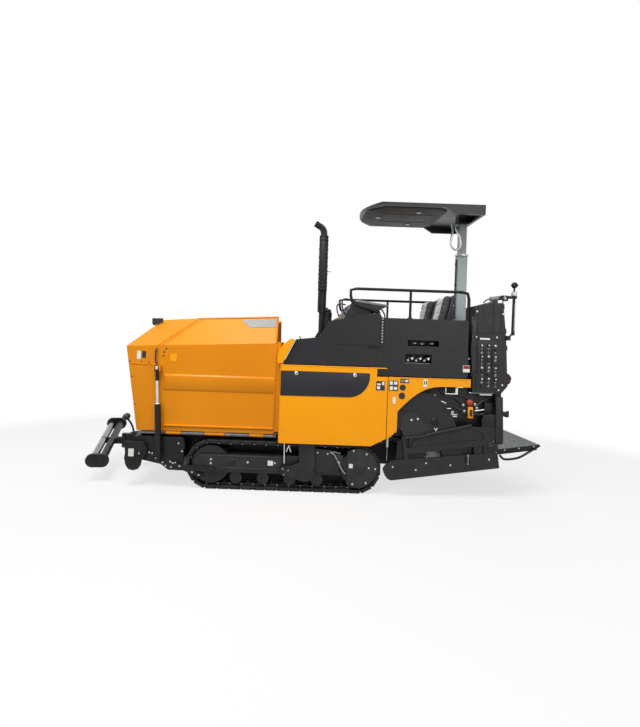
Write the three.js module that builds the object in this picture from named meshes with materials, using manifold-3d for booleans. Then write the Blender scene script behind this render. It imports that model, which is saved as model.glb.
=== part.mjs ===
// Compact asphalt paver on tracks, hopper wings raised and screed lifted for transport.
// Millimetres. +X is forwards, +Y is the machine's left, +Z is up.
// The origin is on the ground, under the middle of the whole machine.
import * as THREE from 'three';
import { mergeVertices } from 'three/addons/utils/BufferGeometryUtils.js';
import Module from 'manifold-3d';

const wasm = await Module();
wasm.setup();

// ---------------------------------------------------------------- driving dimensions
const GAP = 0.3;                 // between pieces that touch
const RUN = 6;                   // between pieces that move past each other
const SHIFT_X = 12.5;            // puts the origin under the middle of the whole machine

const FRAME = { halfWidth: 500, rail: 90, bottom: 285, top: 540, front: 1960, rear: -1250, plate: 20 };

const TRACK = { front: 1350, rear: -950, height: 580, width: 300, belt: 34, pad: 30, padLength: 128 };
TRACK.inner = FRAME.halfWidth + 55;
TRACK.outer = TRACK.inner + TRACK.width;
TRACK.radius = TRACK.height / 2;
TRACK.shoes = 35;
TRACK.tuck = 8;                  // shoes sit deeper where the belt turns
TRACK.drawn = 580;               // every height above the tracks is drawn for tracks this tall
TRACK.lift = TRACK.height - TRACK.drawn;

const ARM = { thick: 26, pivotX: 180, pivotZ: 245, boss: 55, lift: 8.4 };
ARM.inner = TRACK.outer + 12;
ARM.outer = ARM.inner + ARM.thick;

const SIDE = { thick: 30, front: 270, rear: -990, bottom: 582, top: 1500, step: 1395, stepX: -860 };
SIDE.inner = ARM.outer + 11;
SIDE.outer = SIDE.inner + SIDE.thick;

const BEAM = { rear: -1955, bottom: 1305 };

const BODY = { wall: 32, deck: 1836, nose: 1800, platformTop: 2088, platformEnd: -1925 };
BODY.halfWidth = SIDE.inner - 12;
const CONVEYOR = { front: 1900, rear: -1270, top: 592, depth: 100, half: 330, gapHalf: 28 };

const BAY = { front: 255, rear: -990, wall: 28, floor: 608, tunnelTop: 950, plate: 12 };
BAY.tunnelHalf = CONVEYOR.half + 32;
BAY.halfWidth = BODY.halfWidth - 47;

const WING = {
  rear: 320, face: 860, wall: 40, bottom: 675, crease: 1745, top: 2068, topY: 600,
  hingeY: 838, hingeZ: 645, knuckle: 20,
};
const FLOOR = { front: 1950, rear: 300, edgeY: 812, edgeZ: 640, innerZ: 606, plate: 18 };
FLOOR.innerY = CONVEYOR.half + 20;

const AUGER = { x: -1420, z: 430, radius: 150, shaft: 38, inner: 95, outer: 815, pitch: 290, flight: 12 };

const SCREED = { front: -1665, rear: -1995, base: 6, top: 455, half: 862 };
const EXTENSION = { front: -2001, rear: -2300, base: 6, top: 385, inner: 12 };
const END = { inner: ARM.outer + 10, thick: 26 };
const BOARD = { front: -2338, rear: -2876, half: 800, z: 168, thick: 26 };

const CANOPY = { front: -705, corner: -915, rear: -2190, half: 580, top: 3540, lip: 45, skirt: 122, wall: 38 };
const MAST = { x: -2090, outer: 124, wall: 10, base: 1470, top: CANOPY.top - 520, slack: 5 };
MAST.stroke = CANOPY.top - CANOPY.skirt - MAST.top - 8;

const PUSH = { pinX: 2349, reach: 222.5, z: 373.5, yaw: 10.05, roll: -9 };
const ROLLER = { half: 700, tube: 46, spread: 55, lobe: 82 };

// ---------------------------------------------------------------- materials
const finish = (color, roughness, metalness) => ({ color, roughness, metalness });
const YELLOW = finish(0xf79a00, 0.38, 0);
const DARK = finish(0x38383b, 0.5, 0);
const BLACK = finish(0x1c1c1e, 0.55, 0);
const RUBBER = finish(0x161616, 0.85, 0);
const CHROME = finish(0xcfd2d4, 0.18, 1);
const STEEL = finish(0x8b8f92, 0.4, 1);
const GREY = finish(0xa9b0b0, 0.45, 0);
const VINYL = finish(0x1e1e20, 0.7, 0);

// ---------------------------------------------------------------- solids
const bare = (geometry) => {
  const copy = geometry.index ? geometry.toNonIndexed() : geometry.clone();
  copy.deleteAttribute('normal');
  copy.deleteAttribute('uv');
  return mergeVertices(copy, 1e-4);
};

const toSolid = (geometry) => {
  const merged = bare(geometry);
  const vertProperties = new Float32Array(merged.attributes.position.array);
  const triVerts = new Uint32Array(merged.index.array);
  const mesh = new wasm.Mesh({ numProp: 3, vertProperties, triVerts });
  return new wasm.Manifold(mesh);
};

const toGeometry = (solid) => {
  const mesh = solid.getMesh();
  const geometry = new THREE.BufferGeometry();
  geometry.setAttribute('position', new THREE.BufferAttribute(mesh.vertProperties.slice(), 3));
  geometry.setIndex(new THREE.BufferAttribute(mesh.triVerts.slice(), 1));
  return geometry;
};

const join = (...pieces) => toGeometry(pieces.map(toSolid).reduce((a, b) => a.add(b)));
const cut = (piece, ...tools) =>
  toGeometry(tools.map(toSolid).reduce((a, b) => a.subtract(b), toSolid(piece)));

const mirrored = (geometry) => {
  const copy = bare(geometry);
  const position = copy.attributes.position;
  for (let i = 0; i < position.count; i += 1) position.setY(i, -position.getY(i));
  const index = copy.index;
  for (let i = 0; i < index.count; i += 3) {
    const first = index.getX(i);
    index.setX(i, index.getX(i + 1));
    index.setX(i + 1, first);
  }
  return copy;
};

// ---------------------------------------------------------------- shapes
const box = (x0, x1, y0, y1, z0, z1) =>
  new THREE.BoxGeometry(x1 - x0, y1 - y0, z1 - z0).translate((x0 + x1) / 2, (y0 + y1) / 2, (z0 + z1) / 2);

const outline = (points) => new THREE.Shape(points.map(([a, b]) => new THREE.Vector2(a, b)));

const extrude = (shape, depth, curveSegments = 8) =>
  new THREE.ExtrudeGeometry(shape, { depth, bevelEnabled: false, curveSegments });

const basis = (x, y, z, origin) =>
  new THREE.Matrix4().makeBasis(x, y, z).setPosition(origin);

const X = new THREE.Vector3(1, 0, 0);
const Y = new THREE.Vector3(0, 1, 0);
const Z = new THREE.Vector3(0, 0, 1);
const vec = (x, y, z) => new THREE.Vector3(x, y, z);

// An outline in X and Z, carried across from y0 to y1.
const acrossY = (shape, y0, y1, segments) =>
  extrude(shape, y1 - y0, segments).applyMatrix4(basis(X, Z, Y.clone().negate(), vec(0, y1, 0)));

// An outline in Y and Z, carried along from x0 to x1.
const alongX = (shape, x0, x1, segments) =>
  extrude(shape, x1 - x0, segments).applyMatrix4(basis(Y, Z, X, vec(x0, 0, 0)));

// An outline in X and Y, carried up from z0 to z1.
const upZ = (shape, z0, z1, segments) => extrude(shape, z1 - z0, segments).translate(0, 0, z0);

const rod = (from, to, radius, sides = 16) => {
  const line = to.clone().sub(from);
  const turn = new THREE.Quaternion().setFromUnitVectors(Y, line.clone().normalize());
  return new THREE.CylinderGeometry(radius, radius, line.length(), sides)
    .applyQuaternion(turn)
    .translate(...from.clone().add(to).multiplyScalar(0.5).toArray());
};

// A lathe profile of [radius, height] points, turned about the line from -> to.
const turned = (profile, from, to, sides = 18) => {
  const turn = new THREE.Quaternion().setFromUnitVectors(Y, to.clone().sub(from).normalize());
  return new THREE.LatheGeometry(profile.map(([r, h]) => new THREE.Vector2(r, h)), sides)
    .applyQuaternion(turn)
    .translate(...from.toArray());
};

const stadium = (front, rear, middle, radius) => {
  const shape = new THREE.Shape();
  shape.absarc(front - radius, middle, radius, -Math.PI / 2, Math.PI / 2, false);
  shape.absarc(rear + radius, middle, radius, Math.PI / 2, (3 * Math.PI) / 2, false);
  shape.closePath();
  return shape;
};

// A round bar along straight runs with rounded corners.
const bentBar = (points, bend, radius, sides = 8, steps = 40) => {
  const path = new THREE.CurvePath();
  let start = points[0];
  for (let i = 1; i < points.length - 1; i += 1) {
    const into = points[i].clone().sub(points[i - 1]).normalize();
    const out = points[i + 1].clone().sub(points[i]).normalize();
    const before = points[i].clone().addScaledVector(into, -bend);
    const after = points[i].clone().addScaledVector(out, bend);
    path.add(new THREE.LineCurve3(start, before));
    path.add(new THREE.QuadraticBezierCurve3(before, points[i], after));
    start = after;
  }
  path.add(new THREE.LineCurve3(start, points[points.length - 1]));
  const section = new THREE.Shape();
  section.absarc(0, 0, radius, 0, Math.PI * 2, false);
  return new THREE.ExtrudeGeometry(section, {
    steps,
    extrudePath: path,
    bevelEnabled: false,
    curveSegments: sides,
  });
};

// A flat plate whose outer face has the given corners; the wall lies on the inner side.
const plate = (corners, thick) => {
  const along = corners[1].clone().sub(corners[0]).normalize();
  const normal = along.clone().cross(corners[2].clone().sub(corners[0])).normalize();
  const up = normal.clone().cross(along);
  const flat = corners.map((corner) => {
    const offset = corner.clone().sub(corners[0]);
    return [offset.dot(along), offset.dot(up)];
  });
  return extrude(outline(flat), thick)
    .applyMatrix4(basis(along, up, normal, corners[0].clone().addScaledVector(normal, -thick)));
};

// ---------------------------------------------------------------- assembly
const paver = new THREE.Group();
paver.name = 'asphalt_paver';
paver.position.x = SHIFT_X;

// What stands on the tracks.
const machine = new THREE.Group();
machine.position.z = TRACK.lift;
paver.add(machine);

const add = (name, geometry, look, group = machine) => {
  const material = new THREE.MeshStandardMaterial(look);
  const mesh = new THREE.Mesh(geometry, material);
  mesh.name = name;
  group.add(mesh);
};

const addPair = (name, geometry, look, group = machine) => {
  add(`${name}_left`, geometry, look, group);
  add(`${name}_right`, mirrored(geometry), look, group);
};

const rad = THREE.MathUtils.degToRad;

// ---------------------------------------------------------------- undercarriage
function trackLoop() {
  const middle = TRACK.radius;
  const straight = TRACK.front - TRACK.rear - 2 * TRACK.radius;
  const pitchRadius = TRACK.radius - TRACK.pad;
  const belt = stadium(TRACK.front - TRACK.pad, TRACK.rear + TRACK.pad, middle, pitchRadius);
  const hole = stadium(
    TRACK.front - TRACK.pad - TRACK.belt,
    TRACK.rear + TRACK.pad + TRACK.belt,
    middle,
    pitchRadius - TRACK.belt,
  );
  belt.holes.push(hole);
  const half = Math.PI * pitchRadius;
  const length = 2 * straight + 2 * half;
  const frontX = TRACK.front - TRACK.radius;
  const rearX = TRACK.rear + TRACK.radius;
  const shoe = (k) => {
    const s = ((k + 0.5) * length) / TRACK.shoes;
    const pad = new THREE.BoxGeometry(TRACK.padLength, TRACK.width, TRACK.pad + 6);
    pad.translate(0, 0, -(pitchRadius + TRACK.pad / 2 - 3));
    if (s < straight) return pad.translate(rearX + s, 0, 0);
    pad.translate(0, 0, s < straight + half || s >= 2 * straight + half ? TRACK.tuck : 0);
    if (s < straight + half) return pad.rotateY(-(s - straight) / pitchRadius).translate(frontX, 0, 0);
    const back = s - straight - half;
    if (back < straight) return pad.rotateY(Math.PI).translate(frontX - back, 0, 0);
    return pad.rotateY(Math.PI - (back - straight) / pitchRadius).translate(rearX, 0, 0);
  };
  const shoes = Array.from({ length: TRACK.shoes }, (_, k) => shoe(k).translate(0, 0, middle));
  const loop = acrossY(belt, -TRACK.width / 2 + 8, TRACK.width / 2 - 8, 10);
  return join(loop, ...shoes).translate(0, (TRACK.inner + TRACK.outer) / 2, 0);
}

const BELT_INNER = TRACK.radius - TRACK.pad - TRACK.belt;
const WHEEL = BELT_INNER - 3;
const IDLER_X = TRACK.front - TRACK.radius;
const DRIVE_X = TRACK.rear + TRACK.radius;

function trackFrame() {
  const y0 = TRACK.inner + 55;
  const y1 = TRACK.outer - 40;
  const axle = TRACK.radius;
  const beam = acrossY(
    outline([
      [IDLER_X - 60, axle - 90],
      [IDLER_X - 60, axle + 105],
      [820, axle + 125],
      [-420, axle + 125],
      [-480, axle + 90],
      [-480, axle - 90],
    ]),
    y0,
    y1,
  );
  const idler = rod(vec(IDLER_X, y0 - 10, axle), vec(IDLER_X, y1 + 10, axle), WHEEL, 28);
  const fork = box(IDLER_X - 160, IDLER_X + 40, y1, y1 + 24, axle - 40, axle + 40);
  const beltTop = TRACK.pad + TRACK.belt + 2;
  const rollerRadius = (axle - 80 - beltTop) / 2;
  const rollerZ = beltTop + rollerRadius;
  const rollers = [760, 440, 120, -200].map((x) =>
    rod(vec(x, y0 + 12, rollerZ), vec(x, y1 + 6, rollerZ), rollerRadius, 16));
  const stubs = [650, -150].map((x) =>
    box(x - 90, x + 90, FRAME.halfWidth + GAP, y0 + 5, axle + 10, axle + 110));
  const towZ = ARM.pivotZ + TRACK.lift;
  const towPlate = box(ARM.pivotX - 60, ARM.pivotX + 60, y1 - 5, ARM.inner - 2, towZ - 45, towZ + 50);
  return join(beam, idler, fork, ...rollers, ...stubs, towPlate, driveHousing());
}

function driveHousing() {
  const y0 = TRACK.inner + 20;
  const axle = TRACK.radius;
  const profile = [
    [0, 0],
    [150, 0],
    [WHEEL - 6, 60],
    [WHEEL - 6, 215],
    [205, 228],
    [188, 262],
    [160, 272],
    [0, 272],
  ];
  const drum = turned(profile, vec(DRIVE_X, y0, axle), vec(DRIVE_X, y0 + 1, axle), 28);
  const stub = box(DRIVE_X - 80, DRIVE_X + 80, FRAME.halfWidth + GAP, y0 + 10, axle + 10, axle + 110);
  return join(drum, stub);
}

function mainFrame() {
  const { halfWidth, rail, bottom, top, front, rear, plate: skin } = FRAME;
  const section = outline([
    [-halfWidth, bottom],
    [halfWidth, bottom],
    [halfWidth, top],
    [halfWidth - rail, top],
    [halfWidth - rail, bottom + skin],
    [-halfWidth + rail, bottom + skin],
    [-halfWidth + rail, top],
    [-halfWidth, top],
  ]);
  const channel = alongX(section, rear, front);
  const ribHalf = halfWidth - rail + 5;
  const ribTop = CONVEYOR.top - CONVEYOR.depth - 14;
  const ribs = [rear + 40, -500, 250, 1000, front - 60].map((x) =>
    box(x, x + 30, -ribHalf, ribHalf, bottom + 5, ribTop));
  return join(channel, ...ribs);
}

// One cheek plate with its tow lug and track guard, below the hopper's front.
function cheekPlate() {
  const cheek = acrossY(
    outline([
      [1975, 596],
      [1400, 596],
      [1372, 520],
      [1392, 300],
      [1400, 205],
      [1560, 205],
      [1650, 270],
      [1890, 318],
      [2010, 330],
      [2010, 470],
    ]),
    FRAME.halfWidth + 40,
    845,
  );
  const pocket = box(1440, 1960, FRAME.halfWidth + 80, 805, 150, 560);
  const lugShape = new THREE.Shape();
  lugShape.moveTo(2075, 475);
  lugShape.absarc(1926, 393, 62, Math.PI / 2, (5 * Math.PI) / 4, false);
  lugShape.absarc(1995, 300, 62, (5 * Math.PI) / 4, Math.PI * 2, false);
  lugShape.closePath();
  const lug = acrossY(lugShape, 780, 850, 5);
  const guard = acrossY(
    outline([[1560, 215], [1020, 205], [1000, 235], [1020, 262], [1380, 278], [1480, 300]]),
    TRACK.outer + 6,
    TRACK.outer + 26,
  );
  const guardRoot = box(1420, 1540, 820, TRACK.outer + 10, 220, 285);
  return join(cut(cheek, pocket), lug, guard, guardRoot);
}

// Both cheeks, the crossbeam and the arms that carry the push rollers.
function nose() {
  const left = cheekPlate();
  const beam = box(FRAME.front + GAP, 2010, -600, 600, 330, 560);
  const root = box(1850, 2000, FRAME.halfWidth + GAP, FRAME.halfWidth + 50, 330, 560);
  const arms = [1, -1].map((side) =>
    acrossY(
      outline([[2000, 540], [2000, 350], [PUSH.pinX - 45, PUSH.z - 95], [PUSH.pinX - 45, PUSH.z + 95]]),
      side > 0 ? 70 : -100,
      side > 0 ? 100 : -70,
    ));
  const head = box(PUSH.pinX - 75, PUSH.pinX - 45, -100, 100, PUSH.z - 95, PUSH.z + 95);
  const ears = [-1, 1].map((side) =>
    join(
      box(PUSH.pinX - 60, PUSH.pinX, -45, 45, PUSH.z + side * 75 - 18, PUSH.z + side * 75 + 18),
      rod(vec(PUSH.pinX, 0, PUSH.z + side * 75 - 18), vec(PUSH.pinX, 0, PUSH.z + side * 75 + 18), 45, 20),
    ));
  return join(beam, root, mirrored(root), left, mirrored(left), ...arms, head, ...ears);
}

add('main_frame', mainFrame(), BLACK);
add('nose_frame', nose(), BLACK);
addPair('track', trackLoop(), RUBBER, paver);
addPair('track_frame', trackFrame(), DARK, paver);

// ---------------------------------------------------------------- hopper
const KNUCKLES = [[330, 440], [620, 900], [1150, 1420]];

function hopperFloor() {
  const { front, rear, edgeY, edgeZ, innerY, innerZ, plate: skin } = FLOOR;
  const slope = alongX(
    outline([[innerY, innerZ], [edgeY, edgeZ], [edgeY, edgeZ - skin], [innerY, innerZ - skin]]),
    rear,
    front,
  );
  const knuckles = KNUCKLES.map(([x0, x1]) =>
    join(
      rod(vec(x0, WING.hingeY, WING.hingeZ), vec(x1, WING.hingeY, WING.hingeZ), WING.knuckle, 12),
      box(x0, x1, edgeY - 20, WING.hingeY, edgeZ - skin + 2, edgeZ + 4),
    ));
  const half = join(slope, ...knuckles);
  const sill = box(front - 16, front, -620, 620, innerZ - 9, 900);
  return join(sill, half, mirrored(half));
}

function conveyor() {
  const { front, rear, top, depth, half, gapHalf } = CONVEYOR;
  const band = stadium(front, rear, top - depth / 2, depth / 2);
  const left = acrossY(band, gapHalf, half, 8);
  const cover = box(rear + 60, front - 60, -gapHalf - 5, gapHalf + 5, top - depth + 15, top + 18);
  return join(cover, left, mirrored(left));
}

// The raised wing: lower face upright, upper face leaning in, nose facets toed in.
// The plane through a, b and c gives the y of a corner whose x and z are known.
function onPlane(a, b, c, x, z) {
  const normal = b.clone().sub(a).cross(c.clone().sub(a));
  return vec(x, a.y - (normal.x * (x - a.x) + normal.z * (z - a.z)) / normal.y, z);
}

const RISE = 0.05;               // the wing grows taller towards the rear
const WING_CORNERS = {
  rearFoot: vec(WING.rear, WING.face, WING.bottom),
  rearCrease: vec(WING.rear, WING.face, WING.crease),
  rearTop: vec(WING.rear, WING.topY, WING.top),
  foot: vec(1690, WING.face, WING.bottom),
  crease: vec(1725, WING.face, WING.crease - RISE * (1725 - WING.rear)),
  top: vec(1290, WING.topY, WING.top - RISE * (1290 - WING.rear)),
  noseCrease: vec(2148, 700, 1655),
};
{
  const { foot, crease, top, noseCrease } = WING_CORNERS;
  WING_CORNERS.noseTop = onPlane(crease, top, noseCrease, 1786, 1990);
  WING_CORNERS.noseFoot = onPlane(foot, crease, noseCrease, 1980, 648);
}

function wingPanel(...names) {
  return plate(names.map((name) => WING_CORNERS[name]), WING.wall);
}

function hopperWing() {
  const lower = wingPanel('rearFoot', 'rearCrease', 'crease', 'foot');
  const upper = wingPanel('rearCrease', 'rearTop', 'top', 'crease');
  const nose = wingPanel('foot', 'crease', 'noseCrease', 'noseFoot');
  const brow = wingPanel('crease', 'top', 'noseTop', 'noseCrease');
  const knuckleWeb = (x0, x1) =>
    join(
      rod(vec(x0, WING.hingeY, WING.hingeZ), vec(x1, WING.hingeY, WING.hingeZ), WING.knuckle, 12),
      box(x0, x1, WING.hingeY - 12, WING.hingeY + 12, WING.hingeZ, WING.bottom + 10),
    );
  const webs = [knuckleWeb(446, 614), knuckleWeb(906, 1144), knuckleWeb(1426, 1600)];
  const eye = WING_EYE;
  const lugs = [-1, 1].map((side) =>
    box(
      eye.x + side * 36 - 8,
      eye.x + side * 36 + 8,
      WING.face - 50,
      eye.y + 26,
      eye.z - 34,
      eye.z + 34,
    ));
  return join(lower, upper, nose, brow, ...webs, ...lugs);
}

const WING_EYE = vec(1712, 918, 1408);
const WING_FOOT = vec(1662, 918, 330);

function wingBarrel() {
  const aim = WING_EYE.clone().sub(WING_FOOT).normalize();
  const at = (distance) => WING_FOOT.clone().addScaledVector(aim, distance);
  const profile = [[0, 36], [36, 36], [36, 660], [19, 660], [19, 120], [0, 120]];
  const barrel = turned(profile, WING_FOOT, at(1), 16);
  const clevis = rod(at(0).add(vec(-20, 0, 0)), at(0).add(vec(20, 0, 0)), 26, 16);
  const neck = rod(at(0), at(44), 20, 12);
  return join(barrel, clevis, neck);
}

function wingRod() {
  const aim = WING_EYE.clone().sub(WING_FOOT).normalize();
  const length = WING_EYE.distanceTo(WING_FOOT);
  const at = (distance) => WING_FOOT.clone().addScaledVector(aim, distance);
  const shaft = rod(at(240), at(length - 10), 17.5, 14);
  const eye = rod(WING_EYE.clone().add(vec(-15, 0, 0)), WING_EYE.clone().add(vec(15, 0, 0)), 27, 16);
  return join(shaft, eye);
}

add('hopper_floor', hopperFloor(), BLACK);
add('conveyor', conveyor(), STEEL);
addPair('hopper_wing', hopperWing(), YELLOW);
addPair('wing_barrel', wingBarrel(), BLACK);
addPair('wing_rod', wingRod(), CHROME);

// ---------------------------------------------------------------- push rollers
function pushBeam() {
  const { half, tube, spread, lobe } = ROLLER;
  const back = rod(vec(-spread, -half, 0), vec(-spread, half, 0), tube, 20);
  const cap = (y0, y1) => {
    const shape = new THREE.Shape();
    shape.absarc(spread, 0, lobe, -Math.PI / 2, Math.PI / 2, false);
    shape.absarc(-spread, 0, lobe, Math.PI / 2, (3 * Math.PI) / 2, false);
    shape.closePath();
    return acrossY(shape, y0, y1, 8);
  };
  const web = box(-spread, spread + 10, -8, 8, -40, 40);
  const lug = box(-spread - 75, -spread, -40, 40, -38, 38);
  return join(back, cap(half - 2, half + 34), cap(-half - 34, -half + 2), web, lug);
}

function pushRoller() {
  return rod(vec(ROLLER.spread, 14, 0), vec(ROLLER.spread, ROLLER.half - RUN - 2, 0), ROLLER.tube, 20);
}

function pushKnuckle() {
  const post = rod(vec(0, 0, -56), vec(0, 0, 56), 44, 20);
  const block = box(0, PUSH.reach - ROLLER.spread - 80, -44, 44, -42, 42);
  return join(post, block);
}

const knuckleGroup = new THREE.Group();
knuckleGroup.position.set(PUSH.pinX, 0, PUSH.z);
knuckleGroup.rotation.z = rad(PUSH.yaw);
machine.add(knuckleGroup);
const pushGroup = new THREE.Group();
pushGroup.position.x = PUSH.reach;
pushGroup.rotation.x = rad(PUSH.roll);
knuckleGroup.add(pushGroup);
add('push_knuckle', pushKnuckle(), BLACK, knuckleGroup);
add('push_beam', pushBeam(), BLACK, pushGroup);
addPair('push_roller', pushRoller(), STEEL, pushGroup);

// ---------------------------------------------------------------- engine bay
function engineBay() {
  const { front, rear, wall, floor, tunnelHalf, tunnelTop, plate: skin, halfWidth } = BAY;
  const bulkhead = (x0, x1) =>
    cut(
      box(x0, x1, -halfWidth, halfWidth, floor, SIDE.top - 4),
      box(x0 - 5, x1 + 5, -tunnelHalf, tunnelHalf, floor - 5, tunnelTop),
    );
  const ahead = bulkhead(front - wall, front);
  const back = cut(
    bulkhead(rear - wall, rear),
    box(rear - wall - 5, rear + 5, -halfWidth - 5, halfWidth + 5, SIDE.step - 10, SIDE.top),
  );
  const roof = box(rear - 10, front - 10, -tunnelHalf - skin, tunnelHalf + skin, tunnelTop, tunnelTop + skin);
  const wallLeft = box(rear - 10, front - 10, tunnelHalf, tunnelHalf + skin, floor, tunnelTop + 5);
  const floorLeft = box(rear - 10, front - 10, tunnelHalf, halfWidth, floor, floor + skin);
  return join(roof, wallLeft, mirrored(wallLeft), floorLeft, mirrored(floorLeft), ahead, back);
}

function sideDoor() {
  const { front, rear, bottom, top, step, stepX, inner, outer } = SIDE;
  const shape = new THREE.Shape();
  shape.moveTo(front, bottom + 18);
  shape.lineTo(front, top);
  shape.lineTo(stepX, top);
  shape.lineTo(stepX, step);
  shape.lineTo(rear + 4, step);
  shape.lineTo(rear + 4, bottom + 90);
  shape.lineTo(-810, bottom);
  shape.lineTo(front - 18, bottom);
  shape.quadraticCurveTo(front, bottom, front, bottom + 18);
  return acrossY(shape, inner, outer, 4);
}

function rearQuarter() {
  const shape = new THREE.Shape();
  shape.moveTo(SIDE.rear - 4, SIDE.step);
  shape.lineTo(BEAM.rear, SIDE.step + 4);
  shape.lineTo(BEAM.rear, BEAM.bottom);
  shape.lineTo(-1607, BEAM.bottom - 3);
  shape.bezierCurveTo(-1400, 1290, -1290, 1190, -1113, 999);
  shape.lineTo(-1110, 777);
  shape.lineTo(-1040, 697);
  shape.lineTo(SIDE.rear - 4, 676);
  shape.closePath();
  return acrossY(shape, SIDE.inner, SIDE.outer, 8);
}

// Deck over the augers that carries the platform, with the auger hanger.
function rearFrame() {
  const deck = box(BEAM.rear, BAY.rear - BAY.wall - GAP, -840, 840, 1312, 1388);
  const cheek = box(-1180, BAY.rear - BAY.wall - GAP, 700, 840, 700, 1320);
  const hanger = box(AUGER.x - 45, AUGER.x + 45, -50, 50, AUGER.z + 60, 1330);
  const liftLug = box(LIFT_TOP.x - 30, LIFT_TOP.x + 30, LIFT_TOP.y - 54, LIFT_TOP.y - 38, 1240, 1320);
  return join(deck, cheek, mirrored(cheek), hanger, augerGearbox(), liftLug, mirrored(liftLug));
}

const LIFT_TOP = vec(-1800, 740, 1262);

function augerGearbox() {
  const profile = [[0, -80], [60, -80], [78, -60], [78, 60], [60, 80], [0, 80]];
  return turned(profile, vec(AUGER.x, 0, AUGER.z), vec(AUGER.x, 1, AUGER.z), 20);
}

function auger() {
  const { x, z, radius, shaft, inner, outer, pitch, flight } = AUGER;
  const turns = (outer - inner - 40) / pitch;
  const steps = Math.round(turns * 14);
  const position = [];
  for (let i = 0; i <= steps; i += 1) {
    const angle = (i / steps) * turns * Math.PI * 2;
    const y = inner + 20 + (i / steps) * (outer - inner - 40 - flight);
    const ring = [[shaft - 8, 0], [radius, 0], [radius, flight], [shaft - 8, flight]];
    ring.forEach(([r, dy]) => position.push(x + r * Math.cos(angle), y + dy, z + r * Math.sin(angle)));
  }
  const index = [0, 2, 1, 0, 3, 2];
  for (let i = 0; i < steps; i += 1) {
    for (let k = 0; k < 4; k += 1) {
      const a = i * 4 + k;
      const b = i * 4 + ((k + 1) % 4);
      index.push(a, b, b + 4, a, b + 4, a + 4);
    }
  }
  const end = steps * 4;
  index.push(end, end + 1, end + 2, end, end + 2, end + 3);
  const flightMesh = new THREE.BufferGeometry();
  flightMesh.setAttribute('position', new THREE.Float32BufferAttribute(position, 3));
  flightMesh.setIndex(index);
  const bar = rod(vec(x, inner, z), vec(x, outer, z), shaft, 14);
  return join(bar, flightMesh);
}

add('engine_bay', engineBay(), BLACK);
add('engine_block', box(-760, 60, -300, 300, BAY.tunnelTop + BAY.plate + 8, 1425), DARK);
addPair('side_door', sideDoor(), YELLOW);
addPair('rear_quarter', rearQuarter(), YELLOW);
add('rear_frame', rearFrame(), BLACK);
addPair('auger', auger(), STEEL);

// ---------------------------------------------------------------- upper body
const HOOD_FRONT = [[242, 1508], [100, BODY.nose], [-176, BODY.deck]];
const HOOD_LINE = [...HOOD_FRONT, [-396, BODY.deck + 12]];
const HOOD_REAR = -468;
const HOOD_SPLIT = 150;
const HOOD_SKIN = 16;

function bodySide(points) {
  return acrossY(outline(points), BODY.halfWidth - BODY.wall, BODY.halfWidth);
}

function hoodSide() {
  const side = bodySide([
    ...HOOD_FRONT,
    [-282, 2030],
    [-470, 2066],
    [-700, 2125],
    [-880, 2138],
    [-905, BODY.platformTop],
    [-1000, BODY.platformTop],
    [-1000, SIDE.step + 12],
    [SIDE.stepX + 8, SIDE.step + 12],
    [SIDE.stepX + 8, SIDE.top + 8],
  ]);
  return side;
}

function platformSide() {
  const end = BODY.platformEnd;
  const foot = SIDE.step + 12;
  const outer = bodySide([[-989, foot], [-989, BODY.platformTop], [end, BODY.platformTop], [end, foot]]);
  const vents = [
    box(-1580, -1215, 600, 1000, 1768, 1836),
    box(-1500, -1190, 600, 1000, 1560, 1672),
  ];
  const skin = 14;
  const top = box(end, -989, 660, BODY.halfWidth - 4, BODY.platformTop - 24, BODY.platformTop);
  const innerWall = box(end, -989, 660, 660 + skin, foot, BODY.platformTop - 2);
  return join(cut(outer, ...vents), top, innerWall);
}

const bodySides = () => join(hoodSide(), platformSide());

// Bent sheet whose upper side follows a stretch of the hood line, between y0 and y1.
function hoodSheet(line, y0, y1) {
  const under = line.map(([x, z]) => [x, z - HOOD_SKIN]);
  return acrossY(outline([...line, ...under.reverse()]), y0, y1);
}

// The fixed slope in front of the lid, across the whole hood.
function hoodSlope(innerHalf) {
  const [[x0, z0], [x1, z1]] = HOOD_FRONT;
  const lean = HOOD_SKIN * 1.2;
  return acrossY(outline([[x0, z0], [x1, z1], [x1, z1 - HOOD_SKIN], [x0 - lean, z0]]), -innerHalf, innerHalf);
}

function hoodDeck() {
  const innerHalf = BODY.halfWidth - BODY.wall - GAP;
  const line = HOOD_LINE.slice(1);
  const top = BODY.deck + 12;
  const back = box(HOOD_REAR, HOOD_LINE[3][0] - RUN, -innerHalf, innerHalf, top - HOOD_SKIN, top);
  const corner = box(HOOD_REAR, HOOD_LINE[3][0] + 16, HOOD_SPLIT + 4, innerHalf, top - HOOD_SKIN, top);
  return join(hoodSlope(innerHalf), hoodSheet(line, HOOD_SPLIT + 4, innerHalf), back, corner);
}

function engineHood() {
  const [[x0, z0], ...rest] = HOOD_LINE.slice(1);
  return hoodSheet([[x0 - RUN, z0 + 1], ...rest], -(BODY.halfWidth - BODY.wall - RUN), HOOD_SPLIT - 2);
}

function operatorConsole() {
  const half = 655;
  const base = acrossY(
    outline([[-474, 1500], [-474, 2060], [-520, 2190], [-700, 2205], [-900, 2110], [-925, 2040], [-905, 1500]]),
    -half,
    half,
  );
  const visor = acrossY(
    outline([[-548, 2180], [-560, 2262], [-760, 2300], [-905, 2262], [-900, 2246], [-740, 2262], [-640, 2180]]),
    120,
    600,
  );
  const inside = acrossY(
    outline([[-492, 1490], [-492, 2046], [-532, 2168], [-698, 2182], [-884, 2094], [-905, 2034], [-887, 1490]]),
    -half + 18,
    half - 18,
  );
  return join(cut(base, inside), visor, mirrored(visor));
}

function platformFloor() {
  const floor = box(BODY.platformEnd, -470, -655, 655, 1440, 1476);
  const pedestal = box(-1560, -1330, 230, 550, 1470, 1800);
  return join(floor, pedestal, mirrored(pedestal));
}

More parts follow.
